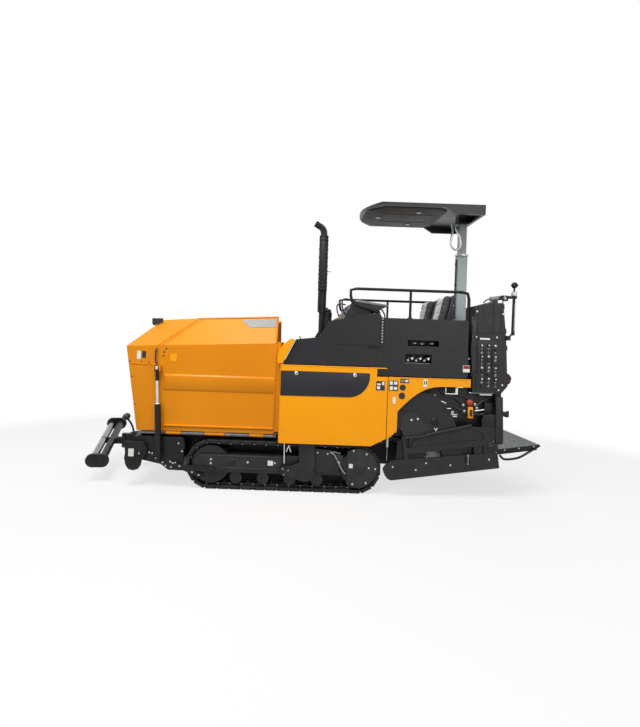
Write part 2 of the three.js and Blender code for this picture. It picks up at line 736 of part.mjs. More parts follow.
function seat() {
  const y0 = 160;
  const y1 = 620;
  const cushion = acrossY(
    outline([[-1200, 1830], [-1180, 1930], [-1220, 1975], [-1560, 1955], [-1640, 1860], [-1600, 1806]]),
    y0,
    y1,
  );
  const back = acrossY(
    outline([[-1560, 1950], [-1640, 1840], [-1720, 1880], [-1905, 2420], [-1870, 2462], [-1800, 2440]]),
    y0 + 10,
    y1 - 10,
  );
  return join(cushion, back);
}

const RAIL = { y: 780, radius: 19, top: 2430, rear: -1952 };

function guardRail() {
  const z = BODY.platformTop;
  const at = (x, height) => vec(x, RAIL.y, height);
  const loop = bentBar(
    [
      at(-890, z - 8),
      at(-880, 2160),
      at(-560, 2240),
      at(-520, RAIL.top),
      at(RAIL.rear, RAIL.top),
      at(RAIL.rear, 1575),
    ],
    62,
    RAIL.radius,
    3,
    40,
  );
  const post = rod(at(-1255, z - 8), at(-1255, RAIL.top), RAIL.radius - 3, 8);
  const foot = box(RAIL.rear - 12, BODY.platformEnd - GAP, RAIL.y - 25, RAIL.y + 25, 1560, 1610);
  return cut(join(loop, post, foot), box(-1300, -850, 600, 900, z - 60, z + GAP));
}

function cornerCover() {
  const shape = new THREE.Shape();
  shape.moveTo(292, 1512);
  shape.lineTo(250, 1512);
  shape.lineTo(112, 1796);
  shape.quadraticCurveTo(150, 1822, 205, 1770);
  shape.quadraticCurveTo(300, 1690, 306, 1600);
  shape.lineTo(306, 1540);
  shape.closePath();
  return acrossY(shape, 760, SIDE.outer, 6);
}

addPair('body_side', bodySides(), DARK);
add('hood_deck', hoodDeck(), DARK);
add('engine_hood', engineHood(), DARK);
add('console', operatorConsole(), BLACK);
add('platform_floor', platformFloor(), BLACK);
addPair('seat', seat(), VINYL);
addPair('guard_rail', guardRail(), BLACK);
addPair('corner_cover', cornerCover(), YELLOW);

// ---------------------------------------------------------------- exhaust and intake
const STACK = vec(-208, 520, 0);
const CLEANER = vec(-275, 330, 0);

function exhaustStack() {
  const base = hoodTopAt(STACK.x) + 4;
  const pipe = rod(vec(STACK.x, STACK.y, base), vec(STACK.x, STACK.y, 3100), 34, 14);
  const flange = rod(vec(STACK.x, STACK.y, base), vec(STACK.x, STACK.y, base + 20), 60, 14);
  const sleeve = turned(
    [[0, 2420], [48, 2420], [55, 2440], [55, 3080], [46, 3098], [0, 3098]],
    vec(STACK.x, STACK.y, 0),
    vec(STACK.x, STACK.y, 1),
    16,
  );
  const elbow = bentBar(
    [vec(STACK.x, STACK.y, 3080), vec(STACK.x + 4, STACK.y, 3190), vec(STACK.x + 110, STACK.y, 3252)],
    55,
    42,
    4,
    9,
  );
  return join(pipe, flange, sleeve, elbow);
}

function hoodTopAt(x) {
  const next = HOOD_LINE.findIndex(([nextX]) => nextX < x);
  const [[x0, z0], [x1, z1]] = [HOOD_LINE[next - 1], HOOD_LINE[next]];
  return z0 + ((x - x0) / (x1 - x0)) * (z1 - z0);
}

function airCleaner() {
  const { x, y } = CLEANER;
  const base = hoodTopAt(x) + 4;
  const profile = [[0, base], [45, base], [45, 1900], [74, 1930], [74, 2150], [60, 2180], [0, 2188]];
  return turned(profile, vec(x, y, 0), vec(x, y, 1), 16);
}

add('exhaust_stack', exhaustStack(), BLACK);
add('air_cleaner', airCleaner(), BLACK);

// ---------------------------------------------------------------- canopy
function canopyPlan(inset) {
  const { front, corner, rear, half } = CANOPY;
  const shape = new THREE.Shape();
  shape.moveTo(rear + inset, -half + inset);
  shape.lineTo(corner - inset, -half + inset);
  shape.quadraticCurveTo(2 * front - corner - inset, 0, corner - inset, half - inset);
  shape.lineTo(rear + inset, half - inset);
  shape.closePath();
  return shape;
}

function canopyRoof() {
  const { top, lip, skirt, wall, rear, half } = CANOPY;
  const block = upZ(canopyPlan(0), top - skirt, top, 12);
  const underFront = acrossY(
    outline([
      [-300, top - lip],
      [-1700, top - lip],
      [-1825, top - skirt],
      [-1825, top - skirt - 60],
      [-300, top - skirt - 60],
    ]),
    -half - 50,
    half + 50,
  );
  const hollow = box(rear + wall, -1700, -half + wall, half - wall, top - skirt - 10, top - lip);
  const socket = box(MAST.x - 75, MAST.x + 75, -75, 75, top - skirt, top - lip + 10);
  return join(cut(block, underFront, hollow), socket);
}

function canopyMast() {
  const half = MAST.outer / 2;
  const bore = half - MAST.wall;
  const column = box(MAST.x - half, MAST.x + half, -half, half, MAST.base, MAST.top);
  const hole = box(MAST.x - bore, MAST.x + bore, -bore, bore, MAST.base + 40, MAST.top + 5);
  const foot = box(MAST.x - 110, MAST.x + 110, -150, 150, MAST.base, MAST.base + 20);
  return cut(join(column, foot), hole);
}

function canopyPost() {
  const half = MAST.outer / 2 - MAST.wall - MAST.slack;
  const bottom = MAST.base + 40 + MAST.stroke + 60;
  return box(MAST.x - half, MAST.x + half, -half, half, bottom, CANOPY.top - CANOPY.skirt - GAP);
}

add('canopy_roof', canopyRoof(), DARK);
add('canopy_mast', canopyMast(), GREY);
add('canopy_post', canopyPost(), GREY);

// ---------------------------------------------------------------- rear tower
function rearCabinet() {
  const shape = outline([
    [-1990, 1240],
    [-1990, 2262],
    [-2230, 2330],
    [-2318, 2368],
    [-2372, 1880],
    [-2405, 1330],
    [-2330, 1240],
  ]);
  const cabinet = cut(acrossY(shape, 560, 885), box(-2305, -2010, 580, 865, 1200, 2245));
  const shelf = box(-2300, BEAM.rear - GAP, -565, 565, 1312, MAST.base - GAP);
  return join(shelf, cabinet, mirrored(cabinet));
}

function rearLamp() {
  const x = -2440;
  const pole = bentBar([vec(x + 50, 900, 1900), vec(x, 900, 1960), vec(x, 900, 2500)], 30, 11, 3, 10);
  const foot = box(-2412, -2366, 888, 912, 1870, 1925);
  const ball = new THREE.SphereGeometry(38, 10, 7).translate(x, 900, 2520);
  return join(pole, foot, ball);
}

add('rear_cabinet', rearCabinet(), DARK);
add('rear_lamp', rearLamp(), BLACK);

// ---------------------------------------------------------------- screed, drawn flat, then lifted
const screed = new THREE.Group();
screed.position.set(ARM.pivotX, 0, ARM.pivotZ);
screed.rotation.y = rad(ARM.lift);
machine.add(screed);

const flat = new THREE.Group();
flat.position.set(-ARM.pivotX, 0, -ARM.pivotZ);
screed.add(flat);

function towArm() {
  const shape = new THREE.Shape();
  shape.absarc(ARM.pivotX, ARM.pivotZ, ARM.boss, Math.PI / 2, -Math.PI / 2, true);
  shape.lineTo(-10, 104);
  shape.quadraticCurveTo(-130, 60, -165, 200);
  shape.lineTo(-215, 540);
  shape.quadraticCurveTo(-225, 600, -320, 600);
  shape.lineTo(-1150, 600);
  shape.quadraticCurveTo(-1500, 590, -1640, 420);
  shape.lineTo(-1700, 120);
  shape.lineTo(-1930, 120);
  shape.lineTo(-1930, 420);
  shape.lineTo(-1881, 553);
  shape.quadraticCurveTo(-1760, 985, -1514, 985);
  shape.quadraticCurveTo(-1330, 970, -1218, 795);
  shape.quadraticCurveTo(-1180, 745, -1080, 740);
  shape.lineTo(-160, 740);
  shape.quadraticCurveTo(-30, 735, -20, 620);
  shape.lineTo(-5, 330);
  shape.quadraticCurveTo(40, 300, ARM.pivotX, ARM.pivotZ + ARM.boss);
  return acrossY(shape, ARM.inner, ARM.outer, 6);
}

function screedBody() {
  const { front, rear, base, top, half } = SCREED;
  const shape = new THREE.Shape();
  shape.moveTo(rear, base);
  shape.lineTo(front - 45, base);
  shape.quadraticCurveTo(front - 5, base + 5, front, base + 70);
  shape.lineTo(front, top - 60);
  shape.lineTo(front - 50, top);
  shape.lineTo(rear + 70, top);
  shape.lineTo(rear, top - 70);
  shape.closePath();
  const pocket = box(rear - 5, front - 40, 40, half - 32, base + 45, top - 90);
  const core = cut(acrossY(shape, -half, half, 6), pocket, mirrored(pocket));
  const { x: lugX, y: lugY, z: lugZ } = LIFT_FOOT;
  const lug = box(lugX - 30, lugX + 30, lugY - 54, lugY - 38, top - 20, lugZ + 28);
  return join(core, lug, mirrored(lug));
}

const LIFT_FOOT = vec(-1870, 740, 500);

function screedExtension() {
  const { front, rear, base, top, inner } = EXTENSION;
  const shape = new THREE.Shape();
  shape.moveTo(rear, base);
  shape.lineTo(front - 40, base);
  shape.quadraticCurveTo(front - 4, base + 4, front, base + 60);
  shape.lineTo(front, top - 40);
  shape.lineTo(front - 40, top);
  shape.lineTo(rear + 90, top);
  shape.lineTo(rear, top - 150);
  shape.closePath();
  const pocket = box(rear + 30, front + 5, inner + 40, SCREED.half - 32, base + 45, top - 60);
  const core = cut(acrossY(shape, inner, SCREED.half, 6), pocket);
  const bracket = box(rear + 60, front - 50, SCREED.half - 5, END.inner + 5, 60, 300);
  return join(core, bracket, endPlate(), topBar());
}

function endPlate() {
  const y0 = END.inner;
  const y1 = END.inner + END.thick;
  const shape = new THREE.Shape();
  shape.moveTo(-2316, 8);
  shape.lineTo(-1050, 8);
  shape.quadraticCurveTo(-975, 20, -962, 150);
  shape.quadraticCurveTo(-1010, 236, -1133, 236);
  shape.lineTo(-2316, 190);
  shape.closePath();
  const ski = acrossY(shape, y0, y1, 6);
  const post = acrossY(outline([[-1230, 200], [-1268, 200], [-1262, 500], [-1226, 500]]), y0, y1);
  const tube = rod(vec(-1245, y0 + 13, 325), vec(-2250, y0 + 13, 325), 38, 12);
  const rear = acrossY(outline([[-2150, 150], [-2290, 150], [-2270, 420], [-2180, 420]]), y0, y1);
  const inside = box(-2400, -900, y0 - 60, y0, 200, 500);
  const outside = box(-2400, -900, y1, y1 + 60, 200, 500);
  return join(ski, post, cut(tube, inside, outside), rear);
}

function topBar() {
  const y = END.inner + END.thick / 2;
  return bentBar(
    [vec(-1240, y, 480), vec(-1487, y, 476), vec(-2050, y, 520), vec(-2210, y, 420)],
    90,
    12.5,
    3,
    18,
  );
}

function footboard() {
  const { front, rear, half, z, thick } = BOARD;
  const deck = box(rear, front - 4, -half, half, z, z + thick);
  const leftRib = box(rear + 30, front - 20, half - 60, half - 30, z - 40, z + 5);
  return join(deck, leftRib, mirrored(leftRib));
}

addPair('tow_arm', towArm(), DARK, flat);
add('screed_body', screedBody(), DARK, flat);
addPair('screed_extension', screedExtension(), DARK, flat);
add('footboard', footboard(), BLACK, flat);

// ---------------------------------------------------------------- screed lift cylinders
const liftFootWorld = () => {
  const offset = vec(LIFT_FOOT.x - ARM.pivotX, 0, LIFT_FOOT.z - ARM.pivotZ).applyAxisAngle(Y, rad(ARM.lift));
  return vec(ARM.pivotX + offset.x, LIFT_FOOT.y, ARM.pivotZ + offset.z);
};

function liftBarrel() {
  const foot = liftFootWorld();
  const aim = foot.clone().sub(LIFT_TOP).normalize();
  const at = (distance) => LIFT_TOP.clone().addScaledVector(aim, distance);
  const length = LIFT_TOP.distanceTo(foot);
  const profile = [[0, 30], [32, 30], [32, length - 50], [17, length - 50], [17, 70], [0, 70]];
  const barrel = turned(profile, LIFT_TOP, at(1), 16);
  const eye = rod(LIFT_TOP.clone().add(vec(0, -20, 0)), LIFT_TOP.clone().add(vec(0, 20, 0)), 24, 16);
  return join(barrel, eye, rod(LIFT_TOP, at(40), 16, 12));
}

function liftRod() {
  const foot = liftFootWorld();
  const aim = foot.clone().sub(LIFT_TOP).normalize();
  const length = LIFT_TOP.distanceTo(foot);
  const at = (distance) => LIFT_TOP.clone().addScaledVector(aim, distance);
  const shaft = rod(at(98), at(length - 8), 15.5, 12);
  const eye = rod(foot.clone().add(vec(0, -20, 0)), foot.clone().add(vec(0, 20, 0)), 24, 16);
  return join(shaft, eye);
}

addPair('lift_barrel', liftBarrel(), BLACK);
addPair('lift_rod', liftRod(), CHROME);

export default paver;
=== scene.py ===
"""Looks of the compact asphalt paver: finishes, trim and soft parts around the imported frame."""

import logging
import math
from dataclasses import dataclass, field
from enum import Enum
from typing import Any, Iterable, Sequence

import bmesh
import bpy
from mathutils import Matrix, Vector


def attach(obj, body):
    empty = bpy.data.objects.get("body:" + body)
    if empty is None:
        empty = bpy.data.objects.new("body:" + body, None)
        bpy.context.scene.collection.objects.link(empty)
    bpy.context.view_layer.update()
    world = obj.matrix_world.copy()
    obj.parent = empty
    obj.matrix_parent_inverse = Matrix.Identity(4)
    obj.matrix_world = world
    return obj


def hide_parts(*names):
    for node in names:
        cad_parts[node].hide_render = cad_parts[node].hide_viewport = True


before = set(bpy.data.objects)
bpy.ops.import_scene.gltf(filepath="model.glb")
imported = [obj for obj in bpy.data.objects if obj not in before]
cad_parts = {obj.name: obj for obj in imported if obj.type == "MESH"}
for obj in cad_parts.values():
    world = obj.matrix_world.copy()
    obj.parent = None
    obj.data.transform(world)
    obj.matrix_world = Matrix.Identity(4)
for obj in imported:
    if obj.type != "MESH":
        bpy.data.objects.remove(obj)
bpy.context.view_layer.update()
LOG = logging.getLogger("paver")

Point = tuple[float, float]
Socket = bpy.types.NodeSocket
Tree = bpy.types.NodeTree


# ---------------------------------------------------------------- small tools
class Side(Enum):
    """Which half of the machine a piece belongs to."""

    LEFT = 1
    RIGHT = -1

    @property
    def label(self) -> str:
        """The word that ends a piece's name."""
        return self.name.lower()


class Axis(Enum):
    """The direction that an outline is carried along; its two numbers lie on the other two axes."""

    ACROSS = "y"
    ALONG = "x"
    UP = "z"

    def place(self, point: Point, depth: float) -> Vector:
        """A point of the outline, at a depth along the axis.

        Args:
            point: The two numbers of the outline point.
            depth: Where it lies along the axis.

        Returns:
            The point in the machine's frame.
        """
        a, b = point
        if self is Axis.ACROSS:
            return Vector((a, depth, b))
        if self is Axis.ALONG:
            return Vector((depth, a, b))
        return Vector((a, b, depth))


def linear(colour: str) -> tuple[float, float, float, float]:
    """Turns an sRGB hex colour into the linear one that shaders use.

    Args:
        colour: Six hex digits after a #.

    Returns:
        Red, green, blue and an alpha of 1.
    """
    parts = [int(colour[i : i + 2], 16) / 255 for i in (1, 3, 5)]
    curve = [c / 12.92 if c <= 0.04045 else ((c + 0.055) / 1.055) ** 2.4 for c in parts]
    return curve[0], curve[1], curve[2], 1.0


def add_node(
    tree: Tree, kind: str, settings: dict[str, Any] | None = None, inputs: dict[Any, Any] | None = None
) -> bpy.types.Node:
    """Adds one node with its settings and links.

    Args:
        tree: The node tree.
        kind: Blender's name for the node type.
        settings: The node's own properties.
        inputs: For each input, by name or number, a value or the socket that feeds it.

    Returns:
        The new node.
    """
    node = tree.nodes.new(kind)
    for name, value in (settings or {}).items():
        setattr(node, name, value)
    for name, value in (inputs or {}).items():
        if isinstance(value, Socket):
            tree.links.new(value, node.inputs[name])
        else:
            node.inputs[name].default_value = value
    return node


# ---------------------------------------------------------------- finishes
@dataclass
class Graph:
    """The nodes of one material, which all start from the place on the piece."""

    tree: Tree
    where: Socket

    def noise(self, size: float, detail: float, stretch: Sequence[float] | None = None) -> Socket:
        """Cloudy noise.

        Args:
            size: Size of one patch, in metres.
            detail: How many finer layers it has.
            stretch: How much finer it is along each axis, if it is streaked.

        Returns:
            A value from 0 to 1.
        """
        where = self.where
        if stretch:
            inputs = {"Vector": where, "Scale": stretch}
            where = add_node(self.tree, "ShaderNodeMapping", inputs=inputs).outputs[0]
        inputs = {"Vector": where, "Scale": 1 / size, "Detail": detail, "Roughness": 0.55}
        return add_node(self.tree, "ShaderNodeTexNoise", inputs=inputs).outputs[0]

    def ramp(self, value: Socket, low: float, high: float, to: Point = (0.0, 1.0)) -> Socket:
        """Stretches a value.

        Args:
            value: What to stretch.
            low: The value that gives the first of to.
            high: The value that gives the second of to.
            to: The two results.

        Returns:
            The stretched value, kept between the two results.
        """
        inputs = {"Value": value, "From Min": low, "From Max": high, "To Min": to[0], "To Max": to[1]}
        return add_node(self.tree, "ShaderNodeMapRange", inputs=inputs).outputs[0]

    def blend(self, share: Socket, first: Socket | str, second: Socket | str) -> Socket:
        """Mixes two colours.

        Args:
            share: How much of the second there is.
            first: A socket or a hex colour.
            second: A socket or a hex colour.

        Returns:
            The mixed colour.
        """
        values = [linear(c) if isinstance(c, str) else c for c in (first, second)]
        inputs = {0: share, 6: values[0], 7: values[1]}
        return add_node(self.tree, "ShaderNodeMix", {"data_type": "RGBA"}, inputs).outputs[2]

    def times(self, first: Socket, second: Socket | float) -> Socket:
        """Multiplies two values."""
        return add_node(
            self.tree, "ShaderNodeMath", {"operation": "MULTIPLY"}, {0: first, 1: second}
        ).outputs[0]

    def bump(self, height: Socket, depth: float, under: Socket | None = None) -> Socket:
        """Turns a height into a normal.

        Args:
            height: The height, from 0 to 1.
            depth: What a height of 1 stands for, in metres.
            under: A normal that this one lies on.

        Returns:
            The normal.
        """
        inputs = {"Strength": 1.0, "Distance": depth, "Height": height}
        if under:
            inputs["Normal"] = under
        return add_node(self.tree, "ShaderNodeBump", inputs=inputs).outputs[0]

    def rounded_edge(self, radius: float) -> tuple[Socket, Socket]:
        """Rounds sharp edges and finds them.

        Args:
            radius: Radius of the edge, in metres.

        Returns:
            The rounded normal, and a value that is 1 on edges.
        """
        soft = add_node(self.tree, "ShaderNodeBevel", {"samples": 4}, {"Radius": radius}).outputs[0]
        true = add_node(self.tree, "ShaderNodeNewGeometry").outputs["Normal"]
        same = add_node(self.tree, "ShaderNodeVectorMath", {"operation": "DOT_PRODUCT"}, {0: soft, 1: true})
        return soft, self.ramp(same.outputs["Value"], 0.99, 0.86)

    def settled(self, top: float) -> Socket:
        """Where dust settles: low on the machine, in patches.

        Args:
            top: The height, in metres, that splashed dirt reaches.

        Returns:
            A value from 0 to 1.
        """
        height = add_node(self.tree, "ShaderNodeSeparateXYZ", inputs={0: self.where}).outputs["Z"]
        low = self.ramp(height, top, 0.05)
        return self.times(low, self.ramp(self.noise(0.16, 7.0), 0.38, 0.72))

    def cells(self, size: float) -> Socket:
        """Pebbles of one size, in metres: the distance from the nearest pebble's middle."""
        inputs = {"Vector": self.where, "Scale": 1 / size}
        return add_node(self.tree, "ShaderNodeTexVoronoi", inputs=inputs).outputs["Distance"]

    def waves(self, pitch: float, distortion: float, direction: str) -> Socket:
        """Parallel ribs.

        Args:
            pitch: Size of a rib, in metres.
            distortion: How far they wander.
            direction: Blender's name for the axis that they follow.

        Returns:
            A value from 0 to 1.
        """
        inputs = {"Vector": self.where, "Scale": 1 / pitch, "Distortion": distortion}
        return add_node(self.tree, "ShaderNodeTexWave", {"bands_direction": direction}, inputs).outputs[1]


@dataclass(frozen=True)
class Finish:
    """A surface: its name, colour and gloss. Subclasses add what the real surface shows."""

    name: str
    colour: str
    roughness: float
    metallic: float = 0.0
    ior: float = 1.5
    sheen: float = 0.0

    def material(self) -> bpy.types.Material:
        """Finds the finish's material, or makes it on first use.

        Returns:
            The Blender material.
        """
        found = bpy.data.materials.get(self.name)
        if found:
            return found
        made = bpy.data.materials.new(self.name)
        made.use_nodes = True
        made.diffuse_color = linear(self.colour)
        tree = made.node_tree
        tree.nodes.clear()
        where = add_node(tree, "ShaderNodeTexCoord").outputs["Object"]
        inputs = {"Metallic": self.metallic, "Sheen Weight": self.sheen}
        if not self.metallic:
            inputs["IOR"] = self.ior
        inputs |= zip(("Base Color", "Roughness", "Normal"), self.dress(Graph(tree, where)))
        shader = add_node(tree, "ShaderNodeBsdfPrincipled", inputs=inputs)
        add_node(tree, "ShaderNodeOutputMaterial", inputs={"Surface": shader.outputs[0]})
        return made

    def gloss(self, graph: Graph, value: Socket, low: float, high: float, change: Point) -> Socket:
        """Varies the roughness.

        Args:
            graph: The material's nodes.
            value: What it varies with.
            low: The value that gives the first change.
            high: The value that gives the second change.
            change: How far each end lies from the finish's own roughness.

        Returns:
            The roughness.
        """
        return graph.ramp(value, low, high, (self.roughness + change[0], self.roughness + change[1]))

    def dress(self, graph: Graph) -> tuple[Socket, Socket, Socket]:
        """Makes what the eye sees of the surface.

        Args:
            graph: The material's nodes.

        Returns:
            Colour, roughness and normal.
        """
        raise NotImplementedError


@dataclass(frozen=True)
class SprayedPaint(Finish):
    """Baked paint on steel sheet: a faint orange peel, slow drifts of tone, scuffed edges, dust low down."""

    drift: str = "#000000"
    primer: str = "#4A4740"
    dust: str = "#8C8478"
    peel: float = 0.00006
    splash: float = 0.75
    scuff: float = 0.55
    edge: float = 0.003

    def dress(self, graph: Graph) -> tuple[Socket, Socket, Socket]:
        """Paints, scuffs and dusts.

        Args:
            graph: The material's nodes.

        Returns:
            Colour, roughness and normal.
        """
        soft, edges = graph.rounded_edge(self.edge)
        clouds = graph.ramp(graph.noise(0.9, 3.0), 0.35, 0.65)
        tone = graph.blend(clouds, self.colour, self.drift)
        chips = graph.ramp(graph.noise(0.012, 6.0), 0.52, 0.6)
        tone = graph.blend(graph.times(graph.times(edges, chips), self.scuff), tone, self.primer)
        tone = graph.blend(graph.times(graph.settled(self.splash), 0.1), tone, self.dust)
        gloss = self.gloss(graph, graph.noise(0.07, 6.0), 0.3, 0.7, (-0.06, 0.1))
        # Real orange peel is about 2 mm across; 5 mm is as fine as shows.
        return tone, gloss, graph.bump(graph.noise(0.005, 2.0), self.peel, soft)


@dataclass(frozen=True)
class TyreRubber(Finish):
    """Moulded rubber: dull, greyed by dust, with fine pits and scuffs."""

    dust: str = "#7D766B"
    pit: float = 0.0006
    dusty: float = 0.35

    def dress(self, graph: Graph) -> tuple[Socket, Socket, Socket]:
        """Dusts the faces and edges, and pits them.

        Args:
            graph: The material's nodes.

        Returns:
            Colour, roughness and normal.
        """
        soft, edges = graph.rounded_edge(0.004)
        patches = graph.ramp(graph.noise(0.06, 7.0), 0.4, 0.75)
        tone = graph.blend(graph.times(patches, self.dusty), self.colour, self.dust)
        tone = graph.blend(graph.times(edges, 0.3), tone, self.dust)
        gloss = self.gloss(graph, patches, 0.0, 1.0, (-0.12, 0.08))
        return tone, gloss, graph.bump(graph.noise(0.008, 5.0), self.pit, soft)


@dataclass(frozen=True)
class BareMetal(Finish):
    """Worked steel: fine streaks along one axis, darker stains, and rust freckles where it is worn."""

    stain: str = "#55514B"
    rust: str = "#6B4A33"
    rusty: float = 0.0
    streak: tuple[float, float, float] = (1.0, 1.0, 1.0)
    groove: float = 0.00004

    def dress(self, graph: Graph) -> tuple[Socket, Socket, Socket]:
        """Stains, rusts and streaks; the edges stay bright.

        Args:
            graph: The material's nodes.

        Returns:
            Colour, roughness and normal.
        """
        soft, edges = graph.rounded_edge(0.0025)
        lines = graph.noise(0.012, 5.0, self.streak)
        stains = graph.ramp(graph.noise(0.09, 6.0), 0.42, 0.78)
        tone = graph.blend(graph.times(stains, 0.6), self.colour, self.stain)
        freckles = graph.ramp(graph.noise(0.02, 8.0), 0.55, 0.68)
        tone = graph.blend(graph.times(freckles, self.rusty), tone, self.rust)
        tone = graph.blend(graph.times(edges, 0.35), tone, self.colour)
        gloss = self.gloss(graph, lines, 0.3, 0.7, (-0.05, 0.12))
        return tone, gloss, graph.bump(lines, self.groove, soft)


@dataclass(frozen=True)
class MouldedPlastic(Finish):
    """Injection-moulded or cast plastic: an even colour, a fine leather-like texture, finger grime."""

    grain: float = 0.0025
    relief: float = 0.00012
    grime: str = "#23221F"
    grimy: float = 0.25

    def dress(self, graph: Graph) -> tuple[Socket, Socket, Socket]:
        """Grimes and grains.

        Args:
            graph: The material's nodes.

        Returns:
            Colour, roughness and normal.
        """
        patches = graph.ramp(graph.noise(0.25, 5.0), 0.45, 0.8)
        tone = graph.blend(graph.times(patches, self.grimy), self.colour, self.grime)
        gloss = self.gloss(graph, patches, 0.0, 1.0, (0.0, 0.12))
        return tone, gloss, graph.bump(graph.cells(self.grain), self.relief, graph.rounded_edge(0.003)[0])


@dataclass(frozen=True)
class Leathercloth(Finish):
    """Vinyl-coated seat cloth: pebbled, slightly shiny where it is sat on, with a soft sheen."""

    sheen: float = 0.15
    pebble: float = 0.004
    relief: float = 0.0004
    faded: str = "#4A4A4C"

    def dress(self, graph: Graph) -> tuple[Socket, Socket, Socket]:
        """Fades, polishes and creases.

        Args:
            graph: The material's nodes.

        Returns:
            Colour, roughness and normal.
        """
        worn = graph.ramp(graph.noise(0.12, 4.0), 0.4, 0.75)
        tone = graph.blend(graph.times(worn, 0.4), self.colour, self.faded)
        gloss = self.gloss(graph, worn, 0.0, 1.0, (0.0, -0.15))
        creases = graph.bump(graph.noise(0.03, 5.0), 0.0015)
        return tone, gloss, graph.bump(graph.cells(self.pebble), self.relief, creases)


@dataclass(frozen=True)
class BraidedHose(Finish):
    """Rubber hydraulic hose: a cloth-marked cover with bright scuffs."""

    pitch: float = 0.006
    scuffed: str = "#77777A"

    def dress(self, graph: Graph) -> tuple[Socket, Socket, Socket]:
        """Scuffs and weaves.

        Args:
            graph: The material's nodes.

        Returns:
            Colour, roughness and normal.
        """
        scuffs = graph.ramp(graph.noise(0.02, 5.0), 0.5, 0.75)
        tone = graph.blend(graph.times(scuffs, 0.25), self.colour, self.scuffed)
        gloss = self.gloss(graph, scuffs, 0.0, 1.0, (-0.1, 0.1))
        return tone, gloss, graph.bump(graph.waves(self.pitch, 2.0, "DIAGONAL"), 0.0004)


@dataclass(frozen=True)
class Lens(MouldedPlastic):
    """A clear or tinted lamp lens: bright moulded plastic with fine ribs."""

    rib: float = 0.012

    def dress(self, graph: Graph) -> tuple[Socket, Socket, Socket]:
        """Ribs the plastic.

        Args:
            graph: The material's nodes.

        Returns:
            Colour, roughness and normal.
        """
        tone, gloss, _ = super().dress(graph)
        return tone, gloss, graph.bump(graph.waves(self.rib, 0.0, "X"), 0.0006)


# Amber two-pack paint: a high gloss over the sheet, warm and even.
AMBER = SprayedPaint("amber_machine_paint", "#FFA700", 0.36, ior=1.36, drift="#FBA100")
# The same paint on the hopper, made a shade deeper: painted shade for its walls, which face slightly away
# from the light.
AMBER_SHADED = SprayedPaint("amber_hopper_paint", "#E28B00", 0.34, ior=1.36, drift="#DB8400")
# The same paint inside the hopper, rubbed dull by the mix.
AMBER_WORN = SprayedPaint("amber_paint_rubbed", "#C87C10", 0.45, drift="#A86E1C", scuff=0.9)
# Satin charcoal on the covers: it parts them from the black behind.
CHARCOAL = SprayedPaint("charcoal_satin_paint", "#17171B", 0.4, ior=1.4, drift="#131316", primer="#48484A")
# A cooler, lighter slate on the big panels, so that their folds read.
PANEL = SprayedPaint("slate_panel_paint", "#202025", 0.38, ior=1.4, drift="#1C1C20", primer="#505053")
# Chassis enamel: near black, with only its edges catching light.
BLACK = SprayedPaint(
    "black_chassis_enamel", "#09090B", 0.44, ior=1.38, drift="#070708", primer="#38383A", splash=0.4
)
# Pale grey on the mast and small lines: the one light painted steel.
PALE = SprayedPaint("pale_grey_paint", "#A1A9AA", 0.38, drift="#98A2A4", primer="#6E6E70")
# Track pads: dull, greyed with dust in their pits.
RUBBER = TyreRubber("track_rubber", "#0F0F11", 0.78)
# Seals and holes: black without a shine. Where it lines a recess or the track's inner side, it is painted
# shade that reads as depth.
SEAL_AND_SHADE = TyreRubber("sealing_rubber", "#060607", 0.66, dusty=0.05)
# Hard chrome on a ground rod: a mirror with faint rings.
CHROME = BareMetal("hard_chrome", "#D4D7D9", 0.1, 1.0, stain="#A9ACAE", streak=(1, 1, 6), groove=0.00001)
# A black-oxide roller tube, polished by the truck tyres it pushes.
TUBE = BareMetal("blackened_roller_tube", "#8C8E92", 0.15, 1.0, stain="#5A5C60", streak=(1, 1, 6))
# Worn steel: streaks and a little rust where hands and chains rub.
STEEL = BareMetal("worn_steel", "#9A9EA1", 0.34, 1.0, rusty=0.15, streak=(1, 0.15, 1))
# The hopper floor: scoured along the flow, with rust between the scratches.
FLOOR_STEEL = BareMetal(
    "scoured_wear_plate", "#77787A", 0.48, 1.0, rusty=0.5, stain="#3C3936", streak=(0.1, 1, 1)
)
# Tread plate: slate green, its studs worn to bare grey.
TREAD = SprayedPaint(
    "slate_green_tread", "#161E20", 0.4, ior=1.42, drift="#11181A", primer="#8A9294", scuff=0.9, splash=0.3
)
# Zinc-plated bolts and unions: small cool sparks on the dark sheet.
ZINC = BareMetal("zinc_plated_bolts", "#C6C8C6", 0.3, 1.0, stain="#8E908C")
# A brass pipe: the one warm metal by the engine.
BRASS = BareMetal("brass_fittings", "#B08D4C", 0.35, 1.0, stain="#6F5A33")
# The roof's moulding: smooth and dark, with a soft sky in it.
ROOF = MouldedPlastic("glossy_roof_moulding", "#070B0E", 0.34, relief=0.00002, grimy=0.1)
# The roof's lining: a matt taupe that lifts the shade under it.
LINER = MouldedPlastic("taupe_roof_liner", "#423E3A", 0.62, relief=0.0003, grain=0.004)
# Black moulded covers and knobs: a fine grain that softens the light.
ABS = MouldedPlastic("black_abs_moulding", "#0B0B0D", 0.46)
# Grey moulded covers: what stands out on the console.
GREY_ABS = MouldedPlastic("grey_abs_moulding", "#7E8384", 0.45)
# Blank labels: clean off-white, flat and slightly shiny.
LABEL = MouldedPlastic("blank_vinyl_label", "#E9E9E4", 0.35, relief=0.00001, grimy=0.12)
# Blank badges: a mid grey plate that stays quiet.
BADGE = MouldedPlastic("blank_grey_badge", "#8C8D88", 0.35, relief=0.00001, grimy=0.1)
# Lamp lenses: ribbed and bright, deep red or clear.
RED_LENS = Lens("red_lens", "#8E1512", 0.18, grimy=0.1)
CLEAR_LENS = Lens("clear_lens", "#D9DDDF", 0.12, grimy=0.05)
# The valve's cap: a red-brown spot on the rear apron.
RED_CAP = MouldedPlastic("red_brown_cap", "#B5441A", 0.4, grimy=0.12)
